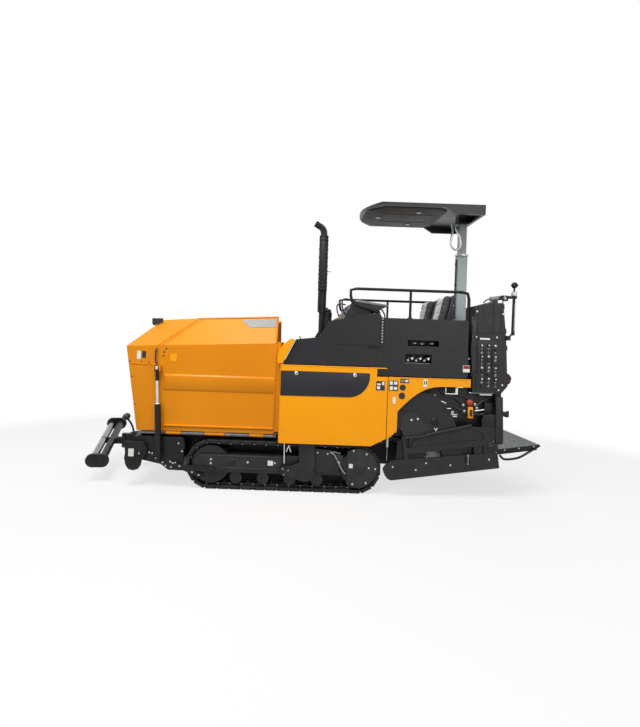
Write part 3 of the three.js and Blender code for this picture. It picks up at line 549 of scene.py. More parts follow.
# The orange plastic of the rear box and lamp.
ORANGE_PLASTIC = MouldedPlastic("orange_polyethylene", "#F29A1E", 0.42, grimy=0.12)
# Seat cloth: black sides and a pale middle, both pebbled.
SEAT_CLOTH = Leathercloth("black_leathercloth", "#1E1E20", 0.58)
SEAT_PANEL = Leathercloth("grey_leathercloth", "#A4A8AD", 0.5, faded="#8E9297")
# Hydraulic hose: woven black with pale scuffs.
HOSE = BraidedHose("braided_hose", "#1B1B1D", 0.5)


# ---------------------------------------------------------------- workshop
# The drawings' datum lies this far behind the middle of the machine's box.
DATUM = Matrix.Translation((0.0125, 0, 0))
# Edges that bend by more than this stay sharp.
SHARP = math.radians(32)
# The head's radius as a share of a bolt's nominal one.
HEAD_SHARE = 0.85
OUTWARD = Vector((0, 1, 0))


def toward(start: Vector, end: Vector) -> Matrix:
    """A placing whose Z axis points from the start to the end.

    Args:
        start: Its origin.
        end: What its Z axis points to.

    Returns:
        The placing.
    """
    turn = (end - start).to_track_quat("Z", "Y").to_matrix().to_4x4()
    return Matrix.Translation(start) @ turn


def flowing(points: Sequence[Sequence[float]], steps: int = 6) -> list[Vector]:
    """Rounds a few points into a smooth route.

    Args:
        points: The points that the route passes through.
        steps: How many stretches replace each span.

    Returns:
        The points of the smooth route.
    """
    known = [Vector(p) for p in points]
    known = [2 * known[0] - known[1], *known, 2 * known[-1] - known[-2]]
    route = []
    for a, b, c, d in zip(known, known[1:], known[2:], known[3:]):
        for i in range(steps):
            t = i / steps
            curve = 2 * b + (c - a) * t + (
                2 * a - 5 * b + 4 * c - d
            ) * t**2 + (3 * b - a - 3 * c + d) * t**3
            route.append(0.5 * curve)
    return [*route, known[-2]]


class Piece:
    """A piece on the bench: its mesh, the finishes on it, and the work that shapes it."""

    def __init__(self, name: str, side: Side | None = None, placing: Matrix | None = None) -> None:
        """Starts an empty piece.

        Args:
            name: The name of the finished object, to which the side is added.
            side: Left or right where the piece is one of a pair; it is drawn for the left.
            placing: Where its drawing lies on the machine.
        """
        self.name = f"{name}_{side.label}" if side else name
        self.side = side
        self.mesh = bmesh.new()
        self.finishes: list[Finish] = []
        self.placing = placing or Matrix()

    def finish_faces(self, verts: Iterable[bmesh.types.BMVert], finish: Finish) -> None:
        """Gives the faces on some points a finish.

        Args:
            verts: The points.
            finish: The finish that their faces get.
        """
        if finish not in self.finishes:
            self.finishes.append(finish)
        number = self.finishes.index(finish)
        for face in {f for v in verts for f in v.link_faces}:
            face.material_index = number

    def settle(
        self, verts: Sequence[bmesh.types.BMVert], finish: Finish, bevel: float, segments: int,
        turn: Matrix | None,
    ) -> None:
        """Finishes a new shape: puts it in place and breaks its sharp edges.

        Args:
            verts: The points of the shape.
            finish: The finish that it gets.
            bevel: How wide its edges are broken, or 0.
            segments: How many facets the broken edge has.
            turn: Where it goes, or None where it lies right already.
        """
        if turn is not None:
            bmesh.ops.transform(self.mesh, matrix=turn, verts=verts)
        faces = list({f for v in verts for f in v.link_faces})
        bmesh.ops.recalc_face_normals(self.mesh, faces=faces)
        self.finish_faces(verts, finish)
        if bevel:
            edges = {e for v in verts for e in v.link_edges if e.is_manifold and e.calc_face_angle() > 0.45}
            bmesh.ops.bevel(
                self.mesh, geom=list(edges), offset=bevel, offset_type="OFFSET", segments=segments,
                profile=0.5, affect="EDGES", material=-1, clamp_overlap=True,
            )

    def box(
        self, low: Sequence[float], high: Sequence[float], finish: Finish, bevel: float = 0.003,
        segments: int = 2, turn: Matrix | None = None,
    ) -> None:
        """Adds a block with broken edges.

        Args:
            low: Its low corner.
            high: Its high corner.
            finish: The finish that it gets.
            bevel: How wide its edges are broken.
            segments: How many facets the broken edge has.
            turn: Where it goes, or None.
        """
        low, high = Vector(low), Vector(high)
        size = Matrix.Diagonal((*(high - low), 1))
        made = bmesh.ops.create_cube(self.mesh, size=1, matrix=Matrix.Translation((low + high) / 2) @ size)
        self.settle(made["verts"], finish, bevel, segments, turn)

    def prism(
        self, outline: Sequence[Point], start: float, end: float, finish: Finish, bevel: float = 0.003,
        segments: int = 2, axis: Axis = Axis.ACROSS,
    ) -> None:
        """Adds a plate or block that is cut to an outline.

        Args:
            outline: The corners, in order.
            start: Where the thickness starts.
            end: Where it ends.
            finish: The finish that it gets.
            bevel: How wide its edges are broken.
            segments: How many facets the broken edge has.
            axis: The direction of the thickness.
        """
        corners = [self.mesh.verts.new(axis.place(p, start)) for p in outline]
        face = self.mesh.faces.new(corners)
        raised = bmesh.ops.extrude_face_region(self.mesh, geom=[face])["geom"]
        top = [v for v in raised if isinstance(v, bmesh.types.BMVert)]
        bmesh.ops.translate(self.mesh, verts=top, vec=axis.place((0, 0), end - start))
        self.settle(corners + top, finish, bevel, segments, None)

    def rod(
        self, start: Sequence[float], end: Sequence[float], radius: float, finish: Finish, sides: int = 20,
        bevel: float = 0.0,
    ) -> None:
        """Adds a round bar.

        Args:
            start: The middle of one end.
            end: The middle of the other.
            radius: Its radius.
            finish: The finish that it gets.
            sides: How many facets go round.
            bevel: How wide its rims are broken.
        """
        start, end = Vector(start), Vector(end)
        length = (end - start).length
        made = bmesh.ops.create_cone(
            self.mesh, cap_ends=True, segments=sides, radius1=radius, radius2=radius, depth=length,
            matrix=toward(start, end) @ Matrix.Translation((0, 0, length / 2)),
        )
        self.settle(made["verts"], finish, bevel, 2, None)

    def lathe(
        self, profile: Sequence[Point], start: Sequence[float], end: Sequence[float], finish: Finish,
        steps: int = 28,
    ) -> None:
        """Turns a profile about a line.

        Args:
            profile: Radius and distance along the line, from one end to the other.
            start: Where the line starts.
            end: A point that the line goes toward.
            finish: The finish that it gets.
            steps: How many facets go round.
        """
        chain = [self.mesh.verts.new((r, 0, z)) for r, z in profile]
        edges = [self.mesh.edges.new(pair) for pair in zip(chain, chain[1:])]
        before = set(self.mesh.verts) - set(chain)
        bmesh.ops.spin(
            self.mesh, geom=chain + edges, cent=(0, 0, 0), axis=(0, 0, 1), angle=math.tau, steps=steps,
            use_merge=True, use_duplicate=False,
        )
        verts = [v for v in self.mesh.verts if v not in before]
        bmesh.ops.remove_doubles(self.mesh, verts=verts, dist=1e-5)
        verts = [v for v in self.mesh.verts if v not in before]
        self.settle(verts, finish, 0.0, 1, toward(Vector(start), Vector(end)))

    def boss(
        self, profile: Sequence[Point], spot: Sequence[float], finish: Finish, steps: int = 28
    ) -> None:
        """Turns a profile that stands out from the side of the machine.

        Args:
            profile: Radius and height above the spot, from one end to the other.
            spot: Where its middle sits.
            finish: The finish that it gets.
            steps: How many facets go round.
        """
        self.lathe(profile, spot, Vector(spot) + OUTWARD, finish, steps)

    def tube(
        self, route: Sequence[Vector | Sequence[float]], radius: float, finish: Finish, sides: int = 10
    ) -> None:
        """Bends a round bar along a route, closed at both ends.

        Args:
            route: The points of its middle line.
            radius: Its radius.
            finish: The finish that it gets.
            sides: How many facets go round.
        """
        points = [Vector(p) for p in route]
        heading = (points[1] - points[0]).normalized()
        turn = heading.to_track_quat("Z", "Y")
        placing = Matrix.Translation(points[0]) @ turn.to_matrix().to_4x4()
        verts = bmesh.ops.create_circle(
            self.mesh, cap_ends=True, radius=radius, segments=sides, matrix=placing
        )["verts"]
        cap, made = verts[0].link_faces[0], list(verts)
        for i in range(1, len(points)):
            ahead = points[min(i + 1, len(points) - 1)] - points[i - 1]
            ahead.normalize()
            turn = heading.rotation_difference(ahead) @ turn
            heading = ahead
            following = Matrix.Translation(points[i]) @ turn.to_matrix().to_4x4()
            raised = bmesh.ops.extrude_face_region(self.mesh, geom=[cap])["geom"]
            verts = [v for v in raised if isinstance(v, bmesh.types.BMVert)]
            cap = next(f for f in raised if isinstance(f, bmesh.types.BMFace))
            bmesh.ops.transform(self.mesh, matrix=following @ placing.inverted(), verts=verts)
            placing = following
            made += verts
        self.settle(made, finish, 0.0, 1, None)

    def hose(
        self, points: Sequence[Sequence[float]], radius: float, finish: Finish = HOSE, sides: int = 8
    ) -> None:
        """Lays a hose or a bent rod smoothly through a few points.

        Args:
            points: The points that it passes through.
            radius: Its radius.
            finish: The finish that it gets.
            sides: How many facets go round.
        """
        self.tube(flowing(points), radius, finish, sides)

    def stamp(self, pattern: bpy.types.Mesh, where: Matrix, finish: Finish | None = None) -> None:
        """Adds a copy of a ready-made part, such as a bolt.

        Args:
            pattern: The part's mesh.
            where: Where it goes.
            finish: The one finish that it gets; its own if it isn't given.
        """
        before = set(self.mesh.verts)
        self.mesh.from_mesh(pattern)
        added = [v for v in self.mesh.verts if v not in before]
        bmesh.ops.transform(self.mesh, matrix=where, verts=added)
        if finish:
            self.finish_faces(added, finish)

    def pattern(self) -> bpy.types.Mesh:
        """Keeps the piece as a pattern for stamping, and leaves the bench clear.

        Returns:
            The pattern's mesh.
        """
        data = bpy.data.meshes.new(self.name)
        self.mesh.to_mesh(data)
        self.mesh.free()
        return data

    def bolts(
        self, places: Iterable[Sequence[float]], finish: Finish = ZINC, size: float = 0.0075,
        facing: Sequence[float] = OUTWARD,
    ) -> None:
        """Adds hexagon bolts with washers.

        Args:
            places: Where their heads sit.
            finish: Their finish.
            size: Nominal radius: the head is a little smaller and the washer a little larger.
            facing: The direction that the heads stand out in.
        """
        for place in places:
            at = toward(Vector(place), Vector(place) + Vector(facing))
            self.stamp(bolt_pattern(), at @ Matrix.Scale(size * HEAD_SHARE, 4), finish)

    def studs(self, places: Iterable[Sequence[float]], radius: float, height: float) -> None:
        """Raises the studs of a tread plate.

        Args:
            places: Where they stand.
            radius: Radius of a stud.
            height: Its height.
        """
        for place in places:
            size = Matrix.Diagonal((radius, radius, height, 1))
            self.stamp(bolt_pattern(), Matrix.Translation(place) @ size, TREAD)

    def label(self, low: Point, high: Point, y: float, finish: Finish = LABEL) -> None:
        """Sticks a blank label on a wall that faces sideways.

        Args:
            low: Its low corner, along and up.
            high: Its high corner.
            y: Where the wall's face is.
            finish: Its finish.
        """
        middle = Vector(((low[0] + high[0]) / 2, y, (low[1] + high[1]) / 2))
        half = Vector(((high[0] - low[0]) / 2, 0.0008, (high[1] - low[1]) / 2))
        self.box(-half, half, finish, 0.0004, 1, Matrix.Translation(middle))

    def done(self, body: str, slot: str, *replaced: str, smooth: bool = True) -> bpy.types.Object:
        """Takes the piece off the bench and fixes it to the machine.

        Args:
            body: The moving body that carries it; a trailing * stands for the side.
            slot: The record's material slot; not used.
            replaced: The plain solids that it stands for.
            smooth: Whether round faces are shaded smooth.

        Returns:
            The finished object.
        """
        bmesh.ops.transform(self.mesh, matrix=DATUM @ self.placing, verts=self.mesh.verts)
        if self.side is Side.RIGHT:
            bmesh.ops.transform(self.mesh, matrix=Matrix.Diagonal((1, -1, 1, 1)), verts=self.mesh.verts)
            bmesh.ops.reverse_faces(self.mesh, faces=self.mesh.faces)
        for face in self.mesh.faces:
            face.smooth = smooth
        data = bpy.data.meshes.new(self.name)
        self.mesh.to_mesh(data)
        self.mesh.free()
        data.set_sharp_from_angle(angle=SHARP)
        for finish in self.finishes:
            data.materials.append(finish.material())
        made = bpy.data.objects.new(self.name, data)
        bpy.context.scene.collection.objects.link(made)
        label = self.side.label if self.side else ""
        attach(made, body.replace("*", label))
        if replaced:
            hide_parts(*(node.replace("*", label) for node in replaced))
        return made


def bolt_pattern() -> bpy.types.Mesh:
    """Finds the mesh of a hexagon bolt and washer of head radius 1, or makes it on first use.

    Returns:
        The pattern's mesh.
    """
    found = bpy.data.meshes.get("bolt_pattern")
    if found:
        return found
    mesh = bmesh.new()
    for sides, radius, low, high, edge in ((16, 1.35, -0.05, 0.22, 0.06), (6, 1.0, 0.2, 0.85, 0.12)):
        size = Matrix.Translation((0, 0, (low + high) / 2))
        made = bmesh.ops.create_cone(
            mesh, cap_ends=True, segments=sides, radius1=radius, radius2=radius, depth=high - low,
            matrix=size,
        )
        rims = {
            e for v in made["verts"] if v.co.z > high - 0.01 for e in v.link_edges if e.calc_length() < 1.2
        }
        rims = [e for e in rims if all(v.co.z > high - 0.01 for v in e.verts)]
        bmesh.ops.bevel(
            mesh, geom=rims, offset=edge, offset_type="OFFSET", segments=1, profile=0.5, affect="EDGES",
            material=-1,
        )
    data = bpy.data.meshes.new("bolt_pattern")
    mesh.to_mesh(data)
    mesh.free()
    return data


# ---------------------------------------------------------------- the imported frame
@dataclass
class Bodywork:
    """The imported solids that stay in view: each gets its finish, welded points and shaded edges."""

    crease: float = math.radians(28)
    weld: float = 0.00002
    finishes: dict[str, Finish] = field(default_factory=dict)

    def shading(self) -> bpy.types.GeometryNodeTree:
        """Makes the node group that welds the loose triangles and shades them by the angle between them.

        Returns:
            The node group.
        """
        tree = bpy.data.node_groups.new("weld_and_shade", "GeometryNodeTree")
        for way in ("INPUT", "OUTPUT"):
            tree.interface.new_socket("Geometry", in_out=way, socket_type="NodeSocketGeometry")
        start = add_node(tree, "NodeGroupInput").outputs[0]
        welded = add_node(
            tree, "GeometryNodeMergeByDistance", inputs={"Geometry": start, "Distance": self.weld}
        )
        bare = add_node(
            tree, "GeometryNodeRemoveAttribute",
            inputs={"Geometry": welded.outputs[0], "Name": "custom_normal"},
        )
        bend = add_node(tree, "GeometryNodeInputMeshEdgeAngle").outputs["Unsigned Angle"]
        flat = add_node(
            tree, "FunctionNodeCompare", {"data_type": "FLOAT", "operation": "LESS_THAN"},
            {0: bend, 1: self.crease},
        )
        faces = add_node(
            tree, "GeometryNodeSetShadeSmooth", {"domain": "FACE"}, {"Geometry": bare.outputs[0]}
        )
        edges = add_node(
            tree, "GeometryNodeSetShadeSmooth", {"domain": "EDGE"},
            {"Geometry": faces.outputs[0], "Shade Smooth": flat.outputs[0]},
        )
        add_node(tree, "NodeGroupOutput", inputs={0: edges.outputs[0]})
        return tree

    def build(self) -> None:
        """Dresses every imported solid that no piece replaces."""
        shading = self.shading()
        for name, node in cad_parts.items():
            stem = name.removesuffix("_left").removesuffix("_right")
            finish = self.finishes[stem]
            node.data.materials.clear()
            node.data.materials.append(finish.material())
            modifier = node.modifiers.new("weld and shade", "NODES")
            modifier.node_group = shading
        LOG.info("bodywork: %d packed solids dressed", len(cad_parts))


# ---------------------------------------------------------------- running gear
@dataclass
class Track:
    """One crawler track: steel links and shoes round the wheels, each shoe with a bolted rubber pad.

    The lead moves the shoes on, in shoes, so that none tips below the ground where the track bends up.
    """

    side: Side
    front: float = 1.35
    rear: float = -0.95
    height: float = 0.58
    inner: float = 0.555
    outer: float = 0.855
    pad: float = 0.03
    shoes: int = 36
    lead: float = 0.102

    def place(self, share: float) -> Matrix:
        """Finds where a shoe sits; its Z axis points away from the wheels.

        Args:
            share: How far round the track it is, from 0 to 1.

        Returns:
            The shoe's placing.
        """
        radius = self.height / 2 - self.pad
        ahead, behind = self.front - self.height / 2, self.rear + self.height / 2
        straight, bend = ahead - behind, math.pi * radius
        gone = share * 2 * (straight + bend)
        if gone < straight:
            spot, turn = (ahead - gone, self.height / 2 + radius), 0.0
        elif gone < straight + bend:
            turn = (gone - straight) / radius
            spot = (behind - radius * math.sin(turn), self.height / 2 + radius * math.cos(turn))
        elif gone < 2 * straight + bend:
            spot, turn = (behind + gone - straight - bend, self.height / 2 - radius), math.pi
        else:
            turn = math.pi + (gone - 2 * straight - bend) / radius
            spot = (ahead - radius * math.sin(turn), self.height / 2 + radius * math.cos(turn))
        middle = (self.inner + self.outer) / 2
        return Matrix.Translation((spot[0], middle, spot[1])) @ Matrix.Rotation(-turn, 4, "Y")

    def shoe(self) -> Piece:
        """Makes one shoe with its pads, two link plates with guide horns, their pin and bolts.

        Returns:
            The shoe, still on the bench.
        """
        made = Piece("shoe")
        half = (self.outer - self.inner) / 2
        made.box((-0.066, -half, -0.01), (0.062, half, 0.003), BLACK, 0.002)
        pad = [
            (-0.067, 0.002), (-0.068, 0.014), (-0.065, self.pad), (0.065, self.pad), (0.068, 0.014),
            (0.067, 0.002),
        ]
        for start, end in ((-half + 0.002, -0.006), (0.006, half - 0.002)):
            made.prism(pad, start, end, RUBBER, 0.004)
        for y in (-0.062, 0.062):
            link = [(-0.08, -0.032), (0.068, -0.032), (0.078, -0.02), (0.068, -0.009), (-0.08, -0.009)]
            made.prism(link, y - 0.011, y + 0.011, BLACK, 0.002)
            horn = [(-0.018, -0.009), (0.018, -0.009), (0.006, -0.055), (-0.006, -0.055)]
            made.prism(horn, y - 0.03, y - 0.016, BLACK, 0.002)
        made.rod((0.071, -0.085, -0.021), (0.071, 0.085, -0.021), 0.01, STEEL, 10)
        made.bolts(
            [(-0.001, y, 0.003) for y in (-half + 0.006, half - 0.006)], BLACK, 0.007, facing=(0, 0, 1)
        )
        return made

    def build(self) -> None:
        """Lays the shoes round the track."""
        track = Piece("crawler_track", self.side)
        shoe = self.shoe()
        track.finishes = shoe.finishes
        pattern = shoe.pattern()
        for number in range(self.shoes):
            track.stamp(pattern, self.place((number + self.lead) / self.shoes))
            between = self.place((number + self.lead + 0.5) / self.shoes)
            track.box((-0.034, -0.148, -0.008), (0.034, 0.148, 0.02), RUBBER, 0.003, 1, between)
        track.done("chassis", "track_rubber", "track_*")


@dataclass
class TrackFrameTrim:
    """What is bolted to the outside of a track frame: drive cover, wheel caps, guard, brackets and hoses."""

    side: Side
    face: float = 0.865
    drive: Point = (-0.679, 0.304)
    idler: Point = (1.06, 0.29)

    def cover(self, trim: Piece) -> None:
        """The D-shaped plate over the drive, with its bolts and a blank plate.

        Args:
            trim: The piece that it is added to.
        """
        x, z = self.drive
        radius, flat = 0.232, 0.13
        start = math.acos(flat / radius)
        arc = [start + (math.tau - 2 * start) * i / 36 for i in range(37)]
        outline = [(x + radius * math.cos(a), z + radius * math.sin(a)) for a in arc]
        trim.prism(outline, self.face - 0.004, self.face + 0.01, PANEL, 0.004)
        trim.boss(
            [(0, 0.014), (0.06, 0.014), (0.07, 0.008), (0.07, 0)], (x - 0.02, self.face + 0.008, z),
            CHARCOAL,
        )
        spots = [
            (0.055, 0.205), (-0.128, 0.006), (0.059, -0.187), (-0.1, 0.17), (-0.1, -0.17), (-0.205, 0.0)
        ]
        trim.bolts([(x + a, self.face + 0.01, z + b) for a, b in spots], size=0.01)
        trim.label((x + 0.06, z + 0.0), (x + 0.105, z + 0.05), self.face + 0.0108)

    def wheels(self, trim: Piece) -> None:
        """The cap over the idler, with its ring of bolts.

        Args:
            trim: The piece that it is added to.
        """
        x, z = self.idler
        rings = [(0, 0.018), (0.035, 0.018), (0.045, 0.01), (0.088, 0.01), (0.096, 0.0), (0.096, -0.02)]
        trim.boss(rings, (x, 0.842, z), CHARCOAL)
        ring = [
            (x + 0.066 * math.cos(a), 0.852, z + 0.066 * math.sin(a))
            for a in (math.tau * i / 6 for i in range(6))
        ]
        trim.bolts(ring, size=0.008)

    def beam(self, trim: Piece) -> None:
        """The beam's cover and edge strips, with bolts and a blank plate, and a black sheet on its inner side
        that is painted shade.

        Args:
            trim: The piece that it is added to.
        """
        y = self.face
        front = [
            (1.15 + 0.104 * math.sin(a), 0.308 + 0.104 * math.cos(a))
            for a in (math.pi * i / 12 for i in range(13))
        ]
        plate = [(0.215, 0.412), *front, (0.215, 0.204)]
        trim.prism(plate, y - 0.012, y, CHARCOAL, 0.004)
        trim.prism([(0.98, 0.402), (0.215, 0.402), (0.215, 0.386), (0.98, 0.386)], 0.84, y + 0.006, PANEL)
        trim.prism([(0.96, 0.262), (0.215, 0.262), (0.215, 0.246), (0.96, 0.246)], 0.84, y + 0.006, PANEL)
        trim.bolts([(1.055, y, 0.352), (1.055, y, 0.305), (0.3, y, 0.33), (0.62, y, 0.33)], size=0.011)
        trim.label((0.322, 0.3), (0.384, 0.356), y + 0.001)
        trim.boss([(0, 0.012), (0.03, 0.012), (0.036, 0.006), (0.036, 0)], (0.8, y, 0.325), BLACK)
        # A black sheet along the inner side: painted shade, so that the floor doesn't show through under the
        # track.
        trim.box((-0.72, 0.5565, 0.043), (1.08, 0.5645, 0.262), SEAL_AND_SHADE, 0.002, 1)

    def bracket(self, trim: Piece) -> None:
        """The stepped plate behind the tow point with its bolts and pale hoses.

        Args:
            trim: The piece that it is added to.
        """
        y = self.face
        plate = [
            (-0.15, 0.52), (-0.35, 0.505), (-0.505, 0.44), (-0.52, 0.33), (-0.42, 0.24), (-0.17, 0.245)
        ]
        trim.prism(plate, 0.82, y - 0.006, CHARCOAL, 0.004)
        trim.bolts(
            [(-0.2, y - 0.006, 0.47), (-0.32, y - 0.006, 0.46), (-0.46, y - 0.006, 0.36)], size=0.009
        )
        trim.hose(
            [
                (-0.345, y + 0.004, 0.48), (-0.395, y + 0.012, 0.455), (-0.45, y + 0.012, 0.36),
                (-0.5, y + 0.012, 0.27), (-0.535, y + 0.004, 0.235),
            ],
            0.0075, PALE,
        )
        trim.hose(
            [(-0.34, y + 0.002, 0.48), (-0.4, y + 0.008, 0.486), (-0.47, y + 0.002, 0.47)], 0.006, PALE
        )

    def guard(self, trim: Piece) -> None:
        """The bar that keeps stones off the idler.

        Args:
            trim: The piece that it is added to.
        """
        bar = [
            (1.52, 0.318), (1.3, 0.24), (1.215, 0.195), (1.15, 0.18), (1.15, 0.14), (1.225, 0.145),
            (1.33, 0.195), (1.535, 0.275),
        ]
        trim.prism(bar, 0.862, 0.884, BLACK, 0.004)
        spots = [(1.19, 0.166), (1.27, 0.196), (1.5, 0.296), (1.42, 0.262)]
        trim.bolts([(x, 0.884, z) for x, z in spots], size=0.009)

    def build(self) -> None:
        """Fits all of it."""
        trim = Piece("track_frame_trim", self.side)
        for part in (self.cover, self.wheels, self.beam, self.bracket, self.guard):
            part(trim)
        trim.done("chassis", "dark_paint")


# ---------------------------------------------------------------- nose and push rollers
@dataclass
class NoseTrim:
    """Bolts, a lug with its pin and hoses on the nose frame, and the lamp bulb on its curved arm."""

    side: Side

    def build(self) -> None:
        """Fits all of it."""
        trim = Piece("nose_trim", self.side)
        spots = [
            (1.78, 0.412), (1.745, 0.402), (1.7, 0.35), (1.62, 0.3), (1.585, 0.262), (1.53, 0.31),
            (1.52, 0.25), (1.47, 0.3), (1.44, 0.53), (1.395, 0.44),
        ]
        lug = [
            (2.078, 0.54), (1.85, 0.54), (1.806, 0.45), (1.815, 0.395), (1.862, 0.318), (1.872, 0.262),
            (1.905, 0.214), (1.965, 0.196), (2.022, 0.212), (2.054, 0.262), (2.072, 0.338), (2.062, 0.4),
        ]
        trim.prism(lug, 0.882, 0.898, BLACK, 0.004)
        trim.bolts([(x, 0.882, z) for x, z in spots], size=0.009)
        trim.label((1.958, 0.362), (2.022, 0.452), 0.8985)
        pin = [(0, 0.022), (0.02, 0.022), (0.026, 0.014), (0.04, 0.014), (0.044, 0.004), (0.044, 0)]
        trim.boss(pin, (1.892, 0.896, 0.402), BLACK)
        trim.bolts([(1.892, 0.918, 0.402)], ZINC, 0.008)
        trim.box((1.66, 0.3, 0.555), (1.7, 0.8, 0.575), BLACK)
        trim.hose(
            [(1.99, 0.8, 0.6), (2.01, 0.8, 0.69), (2.05, 0.8, 0.76), (2.09, 0.8, 0.8)], 0.012, BLACK,
            sides=10,
        )
        bulb = [(0, 0), (0.03, 0.004), (0.048, 0.022), (0.05, 0.045), (0.036, 0.07), (0.0, 0.08)]
        trim.lathe(bulb, (2.065, 0.8, 0.78), (2.13, 0.8, 0.86), ABS)
        for z in (0.5, 0.53):
            trim.hose(
                [(1.95, 0.45, z), (2.0, 0.6, z + 0.02), (1.98, 0.76, z + 0.01), (1.9, 0.84, z - 0.02)],
                0.011, sides=10,
            )
        trim.done("chassis", "black_paint")


@dataclass
class PushRollers:
    """End caps and bracket bolts on the push beam."""

    pin: tuple[float, float, float] = (2.349, 0.0, 0.3735)
    yaw: float = math.radians(10.05)
    rock: float = math.radians(-9)
    reach: float = 0.2225
    half: float = 0.7

    def build(self) -> None:
        """Adds the caps and the middle bracket's bolts."""
        beam = Matrix.Translation(self.pin) @ Matrix.Rotation(self.yaw, 4, "Z")
        beam = beam @ Matrix.Translation((self.reach, 0, 0)) @ Matrix.Rotation(self.rock, 4, "X")
        caps = Piece("push_beam_caps", None, beam)
        for way in (-1, 1):
            end = Vector((0, way * (self.half + 0.02), 0))
            caps.lathe([(0, 0.006), (0.016, 0.006), (0.022, 0.0), (0.022, -0.004)], end, 2 * end, STEEL)
        caps.bolts([(-0.06, y, 0.02) for y in (-0.05, 0.05)], STEEL, 0.01, facing=(-1, 0, 0))
        caps.done("push_beam", "black_paint")


# ---------------------------------------------------------------- hopper
@dataclass
class WingTrim:
    """Pressings, flanges, seams and fittings on the outside of a hopper wing, mostly in its deeper amber,
    which is painted shade.
    """

    side: Side
    wall: float = 0.86
    front: float = 1.645
    rear: float = 0.33
    top: float = 0.6

    def pressings(self, wing: Piece) -> None:
        """The raised band along the wall, the bottom flange and the rear strips.

        Args:
            wing: The piece that it is added to.
        """
        y = self.wall - 0.002
        band = [(y, 1.345), (y + 0.013, 1.322), (y + 0.013, 1.17), (y, 1.142)]
        wing.prism(band, self.rear + 0.01, self.front, AMBER_SHADED, 0.003, axis=Axis.ALONG)
        flange = [(y, 0.748), (y + 0.02, 0.742), (y + 0.02, 0.728), (y, 0.718)]
        wing.prism(flange, self.rear + 0.005, self.front - 0.02, AMBER_SHADED, 0.003, axis=Axis.ALONG)
        wing.box((0.272, y - 0.012, 0.7), (self.rear + 0.004, y - 0.002, 1.76), AMBER_SHADED, 0.002, 1)
        wing.box(
            (self.rear - 0.006, y - 0.014, 0.69), (self.rear + 0.012, y + 0.01, 1.735), AMBER_SHADED, 0.004
        )

    def slope(self, along: float, share: float) -> Vector:
        """Finds a point on the sloping upper sheet.

        Args:
            along: How far forward it is.
            share: How far up the sheet, from 0 at the crease to 1 at the top.

        Returns:
            The point.
        """
        rise = 0.07 * (1.7 - along) / 1.38
        top_rise = 0.05 * (1.29 - along) / 0.97
        low = Vector((along, self.wall, 1.675 + rise))
        high = Vector((along, self.top, 2.018 + top_rise))
        return low.lerp(high, share)

    def upper(self, wing: Piece) -> None:
        """Adds the lip along the top, the rear lip and the blank badge on the sloping sheet.

        Args:
            wing: The piece that it is added to.
        """
        out = Vector((0, 0.8, 0.6)) * 0.004
        wing.tube([self.slope(x, 0.985) + out for x in (0.335, 1.285)], 0.01, AMBER_SHADED, 8)
        rear = [self.slope(0.328, share) + out for share in (0.0, 1.0)]
        wing.tube(rear, 0.011, AMBER_WORN, 8)
        corners = [
            self.slope(x, share) + out * 0.6
            for x, share in ((0.345, 0.92), (0.345, 0.6), (0.66, 0.6), (0.78, 0.92))
        ]
        face = wing.mesh.faces.new([wing.mesh.verts.new(c) for c in corners])
        raised = bmesh.ops.extrude_face_region(wing.mesh, geom=[face])["geom"]
        top = [v for v in raised if isinstance(v, bmesh.types.BMVert)]
        bmesh.ops.translate(wing.mesh, verts=top, vec=out * 0.5)
        wing.settle([*face.verts, *top], BADGE, 0.0, 1, None)

    def front_sheet(self, share: float, height: float) -> Vector:
        """Finds a point on the slanted nose sheet.

        Args:
            share: How far forward on the sheet, from 0 to 1.
            height: Its height over the ground.

        Returns:
            The point.
        """
        rise = (height - 0.66) / 0.995
        back = Vector((1.69 + 0.035 * rise, self.wall, height))
        ahead = Vector((1.98 + 0.168 * rise, 0.75 - 0.05 * rise, height))
        return back.lerp(ahead, share)

    def nose(self, wing: Piece) -> None:
        """The seam, bolts, blank labels and hose on the slanted nose sheet, and the strips over its top edge.

        Args:
            wing: The piece that it is added to.
        """
        out = Vector((0.36, 0.933, 0))
        wing.tube([self.front_sheet(share, 1.445) for share in (0.02, 0.98)], 0.006, AMBER_SHADED, 6)
        spots = [
            (0.06, 1.48), (0.3, 1.47), (0.55, 1.475), (0.95, 1.47), (0.94, 1.29), (0.93, 0.96), (0.06, 1.6),
            (0.1, 0.8),
        ]
        wing.bolts([self.front_sheet(share, z) for share, z in spots], SEAL_AND_SHADE, 0.008, facing=out)
        for share, low, high in ((0.62, 1.5, 1.6), (0.45, 1.52, 1.6)):
            spot = self.front_sheet(share, (low + high) / 2) + out * 0.002
            half = Vector((0.028, 0.001, (high - low) / 2))
            turn = Matrix.Translation(spot) @ Matrix.Rotation(math.atan2(-0.159, 0.413), 4, "Z")
            wing.box(-half, half, LABEL if share > 0.5 else SEAL_AND_SHADE, 0.0005, 1, turn)
        wing.label((1.5, 1.49), (1.575, 1.58), self.wall + 0.001, AMBER)
        wing.bolts(
            [(1.65, self.wall, 1.6), (1.625, self.wall, 1.64), (1.655, self.wall, 1.555)], SEAL_AND_SHADE, 0.009
        )
        wing.hose(
            [(1.735, 0.872, 1.64), (1.742, 0.892, 1.6), (1.738, 0.896, 1.5), (1.722, 0.892, 1.452)], 0.01
        )
        top, low = Vector((1.29, 0.6, 2.0215)), Vector((1.722, 0.86, 1.678))
        for shift in (0.0, 0.045):
            wing.tube(
                [top - Vector((shift, 0, -0.002)), low - Vector((shift, 0, -0.002))], 0.0055, AMBER_SHADED, 6
            )

